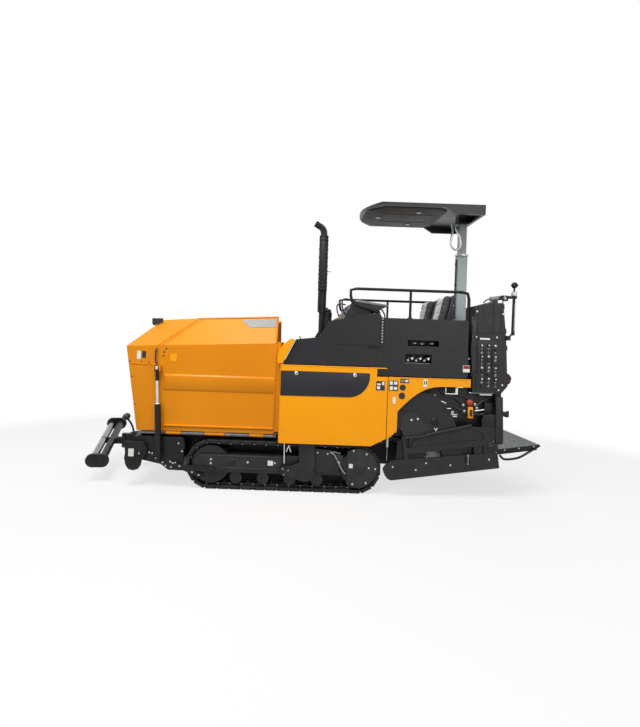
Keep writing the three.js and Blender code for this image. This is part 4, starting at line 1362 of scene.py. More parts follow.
    def build(self) -> None:
        """Presses, seams and fits the wing."""
        wing = Piece("wing_trim", self.side)
        self.pressings(wing)
        self.upper(wing)
        self.nose(wing)
        flap = [(1.772, 2.01), (1.905, 2.006), (1.902, 1.935), (1.88, 1.915), (1.8, 1.96), (1.772, 1.962)]
        wing.prism(flap, 0.47, 0.5, SEAL_AND_SHADE, 0.003, 1)
        ribs = ((0.45, 0.55), (0.95, 1.05), (1.45, 1.55))
        for low, high in ribs:
            wing.box((low, 0.815, 0.95), (high, 0.8225, 1.6), AMBER_WORN, 0.003)
        wing.done("hopper_wing_*", "yellow_paint")


@dataclass
class CylinderTrim:
    """The gland nut and collar on a wing cylinder's barrel, and the pin and fork over its rod."""

    side: Side

    def build(self) -> None:
        """Adds the gland to the barrel, and the pin's cap and the fork to the rod."""
        wing = Piece("wing_gland", self.side)
        low, high = Vector((1.664, 0.918, 0.33)), Vector((1.712, 0.918, 1.408))
        way = (high - low).normalized()
        neck = low + way * 0.648
        wing.lathe(
            [(0.02, 0), (0.034, 0), (0.034, 0.018), (0.028, 0.026), (0.02, 0.028)], neck, high, ZINC, 20
        )
        wing.lathe(
            [(0.0275, 0), (0.0325, 0.004), (0.0325, 0.02), (0.0275, 0.024)], neck - way * 0.12, high, BLACK,
            20,
        )
        wing.done("wing_barrel_*", "black_paint")
        cap = Piece("wing_rod_pin", self.side)
        cap.boss([(0, 0.01), (0.014, 0.01), (0.02, 0.004), (0.02, -0.002)], (1.712, 0.944, 1.408), ZINC, 18)
        fork = [
            (0, -0.004), (0.019, -0.004), (0.022, 0.004), (0.022, 0.112), (0.03, 0.118), (0.03, 0.14),
            (0, 0.142),
        ]
        cap.lathe(fork, high - way * 0.142, high, BLACK, 18)
        cap.done("wing_rod_*", "chrome")


@dataclass
class HopperInside:
    """The conveyor's flight bars and chains, seen from above in the hopper and behind the tunnel."""

    front: float = 1.9
    rear: float = -1.27
    top: float = 0.61
    half: float = 0.33
    pitch: float = 0.158

    def build(self) -> None:
        """Lays the flight bars and the chain strands on the conveyor."""
        bars = Piece("conveyor_flights")
        count = int((self.front - self.rear - 0.1) / self.pitch)
        for number in range(count):
            x = self.rear + 0.08 + number * self.pitch
            for low, high in ((-self.half + 0.03, -0.035), (0.035, self.half - 0.03)):
                bars.box(
                    (x - 0.014, low, self.top - 0.004), (x + 0.014, high, self.top + 0.016), STEEL, 0.003, 1
                )
        for y in (-self.half + 0.02, -0.02, 0.02, self.half - 0.02):
            for number in range(int(count * 2)):
                x = self.rear + 0.06 + number * self.pitch / 2
                bars.box(
                    (x - 0.03, y - 0.006, self.top - 0.004), (x + 0.03, y + 0.006, self.top + 0.01), STEEL,
                    0.002, 1,
                )
        bars.done("chassis", "worn_steel")


# ---------------------------------------------------------------- bodywork trim
@dataclass
class DoorTrim:
    """The dark inset, latches, bolts and blank labels of a side door."""

    side: Side
    wall: float = 0.934

    def build(self) -> None:
        """Fits the inset and what is round it."""
        door = Piece("side_door_trim", self.side)
        y = self.wall
        corner = [
            (-0.775 + 0.245 * (1 - math.cos(a)), 1.392 - 0.245 * math.sin(a))
            for a in (i * math.pi / 16 for i in range(9))
        ]
        outline = [(0.262, 1.428), (-0.768, 1.428), (-0.775, 1.42), *corner, (0.262, 1.143)]
        door.prism(outline, y - 0.002, y + 0.004, PANEL, 0.002)
        rim = [*outline, outline[0]]
        door.tube([(x, y + 0.001, z) for x, z in rim], 0.0035, CHARCOAL, 6)
        for x in (0.082, -0.603):
            ring = [(0, 0.01), (0.016, 0.01), (0.022, 0.006), (0.024, 0.0), (0.024, -0.003)]
            door.boss(ring, (x, y + 0.004, 1.404), ZINC, 20)
            door.box((x - 0.003, y + 0.012, 1.39), (x + 0.003, y + 0.016, 1.418), BLACK, 0.001, 1)
        door.bolts([(0.225, y, 0.735), (-0.93, y, 0.64), (-0.955, y, 0.82), (0.225, y, 0.64)], AMBER, 0.007)
        door.box((-0.955, y - 0.001, 1.236), (-0.853, y + 0.0015, 1.345), SEAL_AND_SHADE, 0.001, 1)
        for low, high in (
            ((-0.948, 1.3), (-0.92, 1.336)), ((-0.905, 1.296), (-0.864, 1.318)),
            ((-0.9, 1.25), (-0.864, 1.284)),
        ):
            door.label(low, high, y + 0.002)
        edge = [(0.262, y - 0.004, 0.595), (0.262, y - 0.004, 1.492)]
        door.tube(edge, 0.007, AMBER, 8)
        door.tube([(0.262, y - 0.004, 1.494), (-0.975, y - 0.004, 1.494)], 0.007, AMBER, 8)
        door.done("side_door_*", "yellow_paint")


@dataclass
class FlankTrim:
    """What is on the fixed flanks: plugs, blank labels, seams, vents with hoses, clips."""

    side: Side
    wall: float = 0.934
    body: float = 0.892

    def quarter(self, trim: Piece) -> None:
        """Plugged holes and blank labels on the rear quarter.

        Args:
            trim: The piece that it is added to.
        """
        y = self.wall
        for x, z, radius in ((-1.163, 1.279, 0.034), (-1.157, 1.182, 0.037)):
            ring = [
                (0, 0.002), (radius - 0.01, 0.002), (radius - 0.006, 0.005), (radius, 0.004),
                (radius + 0.002, 0),
            ]
            trim.boss(ring, (x, y, z), SEAL_AND_SHADE, 24)
        trim.box((-1.11, y - 0.001, 1.236), (-1.0, y + 0.0015, 1.358), SEAL_AND_SHADE, 0.001, 1)
        labels = [
            ((-1.045, 1.306), (-1.01, 1.35)), ((-1.1, 1.31), (-1.058, 1.346)),
            ((-1.048, 1.245), (-1.012, 1.29)), ((-1.1, 1.25), (-1.06, 1.285)),
            ((-1.449, 1.294), (-1.402, 1.384)), ((-1.087, 1.085), (-1.052, 1.163)),
        ]
        for low, high in labels:
            trim.label(low, high, y + 0.002)
        trim.box((-1.238, y - 0.001, 1.332), (-1.133, y + 0.0015, 1.379), SEAL_AND_SHADE, 0.001, 1)
        trim.label((-1.228, 1.345), (-1.188, 1.368), y + 0.002)
        trim.label((-1.178, 1.345), (-1.143, 1.368), y + 0.002, BADGE)
        for x, z in ((-1.448, 1.345), (-1.426, 1.345)):
            trim.label((x + 0.006, z - 0.02), (x + 0.016, z + 0.02), y + 0.0035, SEAL_AND_SHADE)
        trim.bolts([(-1.03, y, 0.72), (-1.03, y, 0.9), (-1.9, y, 1.37), (-1.1, y, 0.76)], AMBER, 0.007)
        trim.tube([(x, y - 0.003, z) for x, z in ((-1.0, 1.392), (-1.95, 1.392))], 0.006, AMBER, 8)

    def flank(self, trim: Piece) -> None:
        """Seams, beads, bolts and the cable column on the dark flank.

        Args:
            trim: The piece that it is added to.
        """
        y = self.body
        trim.box((-1.8, y - 0.002, 1.752), (-0.75, y + 0.0045, 1.764), PANEL, 0.002, 1)
        trim.box((-0.75, y - 0.002, 1.756), (-0.29, y + 0.003, 1.766), BLACK, 0.001, 1)
        trim.box((-0.853, y - 0.002, 1.42), (-0.845, y + 0.002, 1.752), BLACK, 0.001, 1)
        trim.box((-0.936, y - 0.002, 1.78), (-0.884, y + 0.006, 2.085), BLACK, 0.002, 1)
        trim.bolts([(-0.91, y + 0.006, 1.8 + 0.034 * i) for i in range(9)], STEEL, 0.01)
        trim.box((-0.905, y - 0.002, 1.735), (-0.755, y + 0.014, 1.772), BLACK, 0.003)
        spots = [
            (-0.33, 1.46), (-0.6, 1.46), (-1.1, 1.45), (-1.55, 1.45), (-1.86, 1.46), (-1.86, 1.73),
            (-1.86, 2.03), (-1.1, 2.04), (-1.5, 2.04), (-0.62, 1.98), (-0.62, 1.8),
        ]
        trim.bolts([(x, y, z) for x, z in spots], CHARCOAL, 0.008)

    def vents(self, trim: Piece) -> None:
        """Hoses and unions that show in the two openings.

        Args:
            trim: The piece that it is added to.
        """
        for x, z in ((-1.3, 1.802), (-1.385, 1.798), (-1.5, 1.803)):
            trim.hose(
                [
                    (x + 0.05, 0.835, z - 0.02), (x + 0.02, 0.868, z), (x - 0.02, 0.868, z + 0.004),
                    (x - 0.05, 0.835, z - 0.01),
                ],
                0.012, sides=10,
            )
            trim.rod((x + 0.01, 0.868, z - 0.001), (x - 0.012, 0.868, z + 0.002), 0.0165, ZINC, 6, 0.002)
        for number in range(6):
            x = -1.225 - 0.048 * number
            z = 1.598 + 0.022 * (number % 2)
            trim.rod((x, 0.858, z), (x, 0.886, z), 0.016, ZINC if number % 2 else STEEL, 6, 0.002)
            trim.hose([(x, 0.866, z), (x - 0.015, 0.874, z + 0.02), (x - 0.03, 0.868, z + 0.034)], 0.009)
        trim.box((-1.495, 0.85, 1.562), (-1.195, 0.862, 1.57), STEEL, 0.002, 1)

    def clips(self, trim: Piece) -> None:
        """The pale strap and its cord below the door's rear corner.

        Args:
            trim: The piece that it is added to.
        """
        trim.box((-1.032, 0.85, 0.56), (-1.008, 0.858, 0.68), LABEL, 0.002, 1)
        trim.tube([(-1.02, 0.856, 0.57), (-1.018, 0.858, 0.405)], 0.004, PALE, 6)

    def build(self) -> None:
        """Fits all of it."""
        trim = Piece("flank_trim", self.side)
        for part in (self.quarter, self.flank, self.vents, self.clips):
            part(trim)
        trim.done("chassis", "dark_paint")


@dataclass
class HoodTrim:
    """Louvres, a handle and bolts on the engine lid."""

    low: Point = (0.094, 1.801)
    high: Point = (-0.396, 1.848)

    def build(self) -> None:
        """Fits the louvres to the lid's slope."""
        rise = math.atan2(self.high[1] - self.low[1], self.low[0] - self.high[0])
        lid = Matrix.Translation((self.low[0], 0, self.low[1])) @ Matrix.Rotation(rise, 4, "Y")
        hood = Piece("engine_hood_trim", None, lid)
        for y in (-0.62, -0.28):
            hood.box((-0.42, y - 0.13, -0.002), (-0.08, y + 0.13, 0.004), BLACK, 0.002, 1)
            for number in range(9):
                x = -0.4 + 0.036 * number
                slat = [(x, 0.003), (x + 0.026, 0.003), (x + 0.02, 0.013), (x + 0.012, 0.014)]
                hood.prism(slat, y - 0.118, y + 0.118, CHARCOAL, 0.002, 1)
        hood.hose(
            [(-0.06, -0.1, 0.0), (-0.05, -0.1, 0.04), (-0.05, 0.02, 0.04), (-0.06, 0.02, 0.0)], 0.008, STEEL
        )
        hood.bolts(
            [(x, y, 0.0) for x in (-0.455, -0.04) for y in (-0.8, -0.45, -0.12, 0.1)], CHARCOAL, 0.009,
            facing=(0, 0, 1),
        )
        hood.done("engine_hood", "dark_paint")


@dataclass
class ExhaustTrim:
    """Clamps, straps and slots on the exhaust stack, ribs and a cap on the air cleaner."""

    stack: Point = (-0.208, 0.52)
    cleaner: Point = (-0.275, 0.33)

    def build(self) -> None:
        """Fits both."""
        trim = Piece("exhaust_trim")
        x, y = self.stack
        for z in (2.428, 2.47, 3.04, 3.085):
            trim.lathe(
                [(0.05, 0), (0.0585, 0), (0.0585, 0.014), (0.05, 0.014)], (x, y, z), (x, y, 4), CHARCOAL
            )
        for number in range(10):
            for turn in range(8):
                angle = math.tau * (turn + 0.5 * (number % 2)) / 8
                spot = Vector(
                    (x + 0.0545 * math.cos(angle), y + 0.0545 * math.sin(angle), 2.52 + 0.052 * number)
                )
                trim.box(
                    (-0.004, -0.004, -0.016), (0.004, 0.004, 0.016), SEAL_AND_SHADE, 0.001, 1,
                    Matrix.Translation(spot) @ Matrix.Rotation(angle, 4, "Z"),
                )
        for way in (-1, 1):
            trim.box(
                (x + way * 0.04 - 0.012, y - 0.022, 2.16), (x + way * 0.04 + 0.012, y + 0.022, 2.445),
                BLACK, 0.003,
            )
        trim.lathe(
            [(0.03, 0), (0.052, 0), (0.052, 0.02), (0.036, 0.03), (0.03, 0.03)], (x, y, 2.15), (x, y, 4),
            BLACK,
        )
        trim.rod((x - 0.055, y, 2.66), (x - 0.095, y, 2.66), 0.006, STEEL, 8)
        x, y = self.cleaner
        for z in (1.905, 1.975, 2.115, 2.145):
            trim.lathe(
                [(0.07, 0), (0.0785, 0.002), (0.0785, 0.012), (0.07, 0.014)], (x, y, z), (x, y, 4), ABS
            )
        dome = [(0, 0.034), (0.02, 0.034), (0.03, 0.02), (0.058, 0.012), (0.074, -0.006)]
        trim.lathe(dome, (x, y, 2.188), (x, y, 4), ABS)
        trim.hose(
            [(-0.35, 0.33, 2.02), (-0.395, 0.36, 2.02), (-0.41, 0.45, 1.98), (-0.395, 0.5, 1.88)], 0.018,
            sides=12,
        )
        trim.hose(
            [(-0.33, 0.55, 2.02), (-0.37, 0.6, 2.06), (-0.43, 0.62, 2.09), (-0.46, 0.6, 2.12)], 0.01, BRASS
        )
        trim.done("chassis", "black_paint")


# ---------------------------------------------------------------- driver's platform
@dataclass
class ConsoleTrim:
    """The control panel's hoods, screens, knobs, levers and wheels."""

    reach: float = 0.39

    def build(self) -> None:
        """Fits the controls on both ends of the console."""
        trim = Piece("console_trim")
        for way in (1, -1):
            middle = way * self.reach
            visor = [
                (-0.6, 2.3), (-0.64, 2.314), (-1.0, 2.268), (-1.024, 2.244), (-0.99, 2.238), (-0.64, 2.284)
            ]
            trim.prism(visor, middle - 0.215, middle + 0.215, GREY_ABS, 0.006)
            for y in (middle - 0.2, middle + 0.2):
                trim.prism(
                    [(-0.62, 2.29), (-0.98, 2.25), (-0.9, 2.17), (-0.62, 2.17)], y - 0.006, y + 0.006, ABS
                )
            trim.box((-0.93, middle - 0.11, 2.15), (-0.9, middle + 0.11, 2.235), ABS, 0.006)
            trim.box((-0.934, middle - 0.095, 2.162), (-0.929, middle + 0.095, 2.224), SEAL_AND_SHADE, 0.001, 1)
            for number in range(6):
                y = middle - 0.16 + 0.064 * number
                trim.rod(
                    (-0.915, y, 2.118), (-0.938, y, 2.118), 0.011, (RED_LENS, ZINC, GREY_ABS)[number % 3],
                    14, 0.002,
                )
                trim.rod((-0.8, y, 2.115), (-0.8, y, 2.15), 0.008, ZINC, 10, 0.001)
            for y, lean in ((middle - 0.14, 0.02), (middle + 0.14, -0.02)):
                route = flowing([(-0.86, y, 2.1), (-0.868, y, 2.16), (-0.88 - lean, y + lean, 2.21)])
                trim.tube(route, 0.006, ZINC, 8)
                knob = [(0, 0), (0.012, 0.002), (0.019, 0.02), (0.017, 0.036), (0.0, 0.044)]
                trim.lathe(
                    knob, route[-1] - Vector((0, 0, 0.004)), route[-1] + Vector((-0.1, 0, 1)), ABS, 16
                )
            wheel = [
                Vector(
                    (
                        -0.96 + 0.05 * math.cos(a) - 0.02 * math.sin(a), middle + 0.095 * math.sin(a),
                        2.185 + 0.075 * math.cos(a),
                    )
                )
                for a in (math.tau * i / 28 for i in range(29))
            ]
            trim.tube(wheel, 0.009, ABS, 8)
            trim.tube([(-0.915, middle, 2.17), (-0.96, middle, 2.185)], 0.012, ABS, 10)
            trim.hose(
                [
                    (-0.5, middle + 0.2, 2.12), (-0.462, middle + 0.21, 2.2), (-0.455, middle + 0.2, 2.29),
                    (-0.5, middle + 0.14, 2.325), (-0.58, middle + 0.1, 2.315),
                ],
                0.01,
            )
        trim.box((-0.48, -0.6, 1.95), (-0.468, 0.6, 1.985), CHARCOAL, 0.003)
        trim.bolts(
            [(-0.468, y, 1.967) for y in (-0.55, -0.28, 0, 0.28, 0.55)], size=0.008, facing=(1, 0, 0)
        )
        trim.done("chassis", "black_paint")


class Pad(Enum):
    """The two cushions of a seat, by their low and high corners before the back is tilted."""

    CUSHION = ((-1.64, 0.168, 1.868), (-1.188, 0.612, 1.968))
    BACK = ((-0.05, 0.18, 0.03), (0.05, 0.6, 0.5))


@dataclass
class Seat:
    """A driver's seat: a box base, a shell and two padded cushions with sewn channels."""

    side: Side
    voxel: float = 0.011
    pressure: float = 4.0
    limit: float = 0.014
    tilt: float = math.radians(-13)
    hip: tuple[float, float, float] = (-1.665, 0.0, 1.93)

    def back_frame(self) -> Matrix:
        """Where the backrest's own frame lies: at the hip, leaning back."""
        return Matrix.Translation(self.hip) @ Matrix.Rotation(self.tilt, 4, "Y")

    def blown(self, name: str, low: Vector, high: Vector) -> bpy.types.Mesh:
        """A crowned pad: a rounded block that is remeshed and blown up as cloth.

        Args:
            name: A name for the pad's mesh.
            low: The block's low corner.
            high: Its high corner.

        Returns:
            The pad's mesh.
        """
        block = bmesh.new()
        size = Matrix.Diagonal((*(high - low), 1))
        bmesh.ops.create_cube(block, size=1, matrix=Matrix.Translation((low + high) / 2) @ size)
        bmesh.ops.bevel(
            block, geom=block.edges[:], offset=0.028, offset_type="OFFSET", segments=4, profile=0.5,
            affect="EDGES", material=-1,
        )
        data = bpy.data.meshes.new(name)
        block.to_mesh(data)
        block.free()
        shape = bpy.data.objects.new(name, data)
        bpy.context.scene.collection.objects.link(shape)
        remesh = shape.modifiers.new("even mesh", "REMESH")
        remesh.mode = "VOXEL"
        remesh.voxel_size = self.voxel
        even = self.baked(shape)
        shape.modifiers.clear()
        shape.data = even
        before = [v.co.copy() for v in even.vertices]
        cloth = shape.modifiers.new("blow up", "CLOTH")
        cloth.settings.use_pressure = True
        cloth.settings.uniform_pressure_force = self.pressure
        cloth.settings.effector_weights.gravity = 0
        for number in range(1, 21):
            bpy.context.scene.frame_set(number)
        swollen = self.baked(shape)
        shape.modifiers.clear()
        bpy.context.scene.frame_set(1)
        for vertex, start in zip(swollen.vertices, before):
            move = vertex.co - start
            if move.length > self.limit:
                vertex.co = start + move * (self.limit / move.length)
        shape.data = swollen
        made = shape.data
        bpy.data.objects.remove(shape)
        return made

    @staticmethod
    def baked(shape: bpy.types.Object) -> bpy.types.Mesh:
        """Takes the mesh of an object with its modifiers applied.

        Args:
            shape: The object.

        Returns:
            The new mesh.
        """
        seen = shape.evaluated_get(bpy.context.evaluated_depsgraph_get())
        return bpy.data.meshes.new_from_object(seen)

    def sewn(
        self, mesh: bpy.types.Mesh, lines: Sequence[tuple[int, float]], outward: int, sign: int
    ) -> None:
        """Presses sewn channels into a pad's face.

        Args:
            mesh: The pad.
            lines: For each channel, the axis that it is measured along and its place on it.
            outward: The axis that the padded face looks along.
            sign: Which way along it.
        """
        middle = sum((v.co[outward] for v in mesh.vertices), 0.0) / len(mesh.vertices)
        for vertex in mesh.vertices:
            if (vertex.co[outward] - middle) * sign < 0.012:
                continue
            near = min(abs(vertex.co[axis] - place) for axis, place in lines)
            vertex.co[outward] -= sign * 0.0105 * math.exp(-((near / 0.009) ** 2))

    def pad(self, kind: Pad) -> None:
        """Makes one cushion, sews it, and puts it on the seat.

        Args:
            kind: Which cushion it is.
        """
        low, high = (Vector(corner) for corner in kind.value)
        inset = Vector((0.01, 0.01, 0.008))
        mesh = self.blown(f"{kind.name.lower()}_blank", low + inset, high - inset)
        wide = (low.y + 0.085, high.y - 0.085)
        if kind is Pad.CUSHION:
            self.sewn(mesh, [(1, wide[0]), (1, wide[1]), (0, -1.3), (0, -1.41), (0, -1.52)], 2, 1)
        else:
            self.sewn(mesh, [(1, wide[0]), (1, wide[1]), (2, 0.14), (2, 0.25), (2, 0.36)], 0, 1)
        if kind is Pad.BACK:
            mesh.transform(self.back_frame())
        mesh.transform(DATUM)
        if self.side is Side.RIGHT:
            mesh.transform(Matrix.Diagonal((1, -1, 1, 1)))
            mesh.flip_normals()
        mesh.materials.clear()
        for finish in (SEAT_CLOTH, SEAT_PANEL):
            mesh.materials.append(finish.material())
        for face in mesh.polygons:
            face.use_smooth = True
            inner = wide[0] < abs(face.center.y) < wide[1]
            front = face.normal.x > 0.35 if kind is Pad.BACK else face.normal.z > 0.4
            face.material_index = int(inner and front)
        made = bpy.data.objects.new(f"seat_{kind.name.lower()}_{self.side.label}", mesh)
        bpy.context.scene.collection.objects.link(made)
        finer = made.modifiers.new("finer", "SUBSURF")
        finer.levels = finer.render_levels = 1
        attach(made, "chassis")
        LOG.info("%s: %d faces", made.name, len(mesh.polygons))

    def frame(self) -> None:
        """Makes the base, bellows, back shell and recliner tube."""
        shell = Piece("seat_shell", self.side)
        shell.box((-1.6, 0.23, 1.803), (-1.26, 0.55, 1.826), ABS, 0.006)
        for number in range(3):
            z = 1.824 + 0.013 * number
            shell.box((-1.59, 0.24, z), (-1.27, 0.54, z + 0.008), SEAL_AND_SHADE, 0.003)
        shell.box((-1.64, 0.178, 1.856), (-1.195, 0.602, 1.88), ABS, 0.008)
        tilt = self.back_frame()
        shell.box((-0.078, 0.176, -0.07), (-0.034, 0.604, 0.505), ABS, 0.018, 3, tilt)
        shell.box((-0.086, 0.23, 0.06), (-0.074, 0.55, 0.42), GREY_ABS, 0.006, 2, tilt)
        shell.tube([(-1.6, 0.2, 1.845), (-1.66, 0.2, 1.9), (-1.69, 0.2, 2.0)], 0.012, ABS, 8)
        shell.done("chassis", "seat_vinyl", "seat_*")

    def build(self) -> None:
        """Makes the seat."""
        self.frame()
        for kind in Pad:
            self.pad(kind)


@dataclass
class RailTrim:
    """A foot of the guard rail, the hoses at its rear post with their clip, and two blank plates."""

    side: Side

    def build(self) -> None:
        """Fits them."""
        trim = Piece("guard_rail_trim", self.side)
        foot = [(0.017, 0), (0.034, 0), (0.034, 0.01), (0.022, 0.016), (0.0185, 0.03)]
        trim.lathe(foot, (-1.255, 0.78, 2.088), (-1.255, 0.78, 3), BLACK)
        for number, y in enumerate((0.815, 0.84, 0.865)):
            x = -1.948 + 0.01 * number
            trim.hose(
                [
                    (x, y, 1.43), (x - 0.006, y + 0.008, 1.6), (x + 0.01, y, 1.8),
                    (x + 0.012, y - 0.01, 2.05),
                ],
                0.01,
            )
        trim.box((-1.95, 0.8, 1.63), (-1.93, 0.89, 1.65), STEEL, 0.002, 1)
        trim.box((-1.951, 0.895, 1.48), (-1.87, 0.9, 1.56), LABEL, 0.001, 1)
        trim.box((-1.948, 0.9, 1.52), (-1.873, 0.9012, 1.556), RED_LENS, 0.0005, 1)
        trim.done("chassis", "black_paint")


@dataclass
class PlatformDeck:
    """The non-slip tread on the driver's floor."""

    def build(self) -> None:
        """Lays the raised tread bars."""
        deck = Piece("platform_tread")
        for row in range(13):
            for column in range(11):
                x = -1.02 - 0.068 * row
                y = -0.6 + 0.12 * column + (0.06 if row % 2 else 0.0) - 0.03
                if not (-0.63 < y < 0.63) or 0.15 < abs(y) < 0.63 and -1.66 < x < -1.17:
                    continue
                lean = Matrix.Translation((x, y, 1.8015)) @ Matrix.Rotation(
                    0.785 if column % 2 else -0.785, 4, "Z"
                )
                deck.box((-0.02, -0.005, -0.0025), (0.02, 0.005, 0.003), STEEL, 0.0015, 1, lean)
        deck.done("chassis", "black_paint")


# ---------------------------------------------------------------- canopy
@dataclass
class CanopyTrim:
    """The roof's liner, slots, lamps and ribs, and the conduit beside its post."""

    top: float = 3.54
    under: float = 3.4935

    def build(self) -> None:
        """Fits them."""
        trim = Piece("canopy_trim")
        z = self.under
        liner = [
            (-0.76, 0.3), (-0.96, 0.515), (-1.66, 0.515), (-1.76, 0.42), (-1.76, -0.42), (-1.66, -0.515),
            (-0.96, -0.515), (-0.76, -0.3),
        ]
        trim.prism(liner, z - 0.012, z + 0.004, LINER, 0.005, axis=Axis.UP)
        for y in (0.2, -0.2):
            trim.box((-1.64, y - 0.01, z - 0.016), (-0.98, y + 0.01, z - 0.01), SEAL_AND_SHADE, 0.002, 1)
        for x, y in ((-1.42, 0.33), (-1.42, -0.33), (-0.95, 0.0)):
            trim.lathe(
                [(0, 0.01), (0.03, 0.008), (0.038, 0.0)], (x, y, z - 0.012), (x, y, 0), CLEAR_LENS, 20
            )
            trim.lathe(
                [(0.036, 0.0), (0.046, 0.006), (0.05, -0.004)], (x, y, z - 0.012), (x, y, 0), ABS, 20
            )
        for y in (-0.33, 0.0, 0.33):
            rib = [
                (y - 0.05, self.top - 0.006), (y - 0.03, self.top - 0.0005), (y + 0.03, self.top - 0.0005),
                (y + 0.05, self.top - 0.006),
            ]
            trim.prism(rib, -2.1, -0.95, ROOF, 0.002, axis=Axis.ALONG)
        conduit = [
            (-1.915, 0.1, 3.412), (-1.925, 0.11, 3.33), (-1.915, 0.12, 3.24), (-1.905, 0.12, 3.13),
            (-1.965, 0.12, 3.06), (-2.03, 0.12, 3.11), (-2.02, 0.12, 3.23), (-1.975, 0.11, 3.33),
            (-1.965, 0.1, 3.412),
        ]
        trim.hose(conduit, 0.014, ZINC, 12)
        trim.done("canopy", "roof_moulding")


@dataclass
class MastTrim:
    """A clamp collar with its bolt, cable clips and the cable on the fixed mast."""

    x: float = -2.09

    def build(self) -> None:
        """Fits them."""
        trim = Piece("mast_trim")
        trim.lathe(
            [(0.063, 0), (0.082, 0), (0.086, 0.006), (0.086, 0.026), (0.063, 0.032)], (self.x, 0, 2.99),
            (self.x, 0, 4), ZINC, 28,
        )
        trim.rod((self.x + 0.05, 0.085, 3.003), (self.x + 0.05, 0.11, 3.003), 0.012, STEEL, 12, 0.002)
        for z in (2.3, 2.6, 2.88):
            trim.box((self.x + 0.058, -0.018, z), (self.x + 0.082, 0.018, z + 0.022), SEAL_AND_SHADE, 0.003)
        cable = [(self.x + 0.072, 0.0, z) for z in (2.15, 2.4, 2.7, 2.95)]
        trim.tube(cable, 0.01, HOSE, 10)
        trim.done("chassis", "mast_paint")


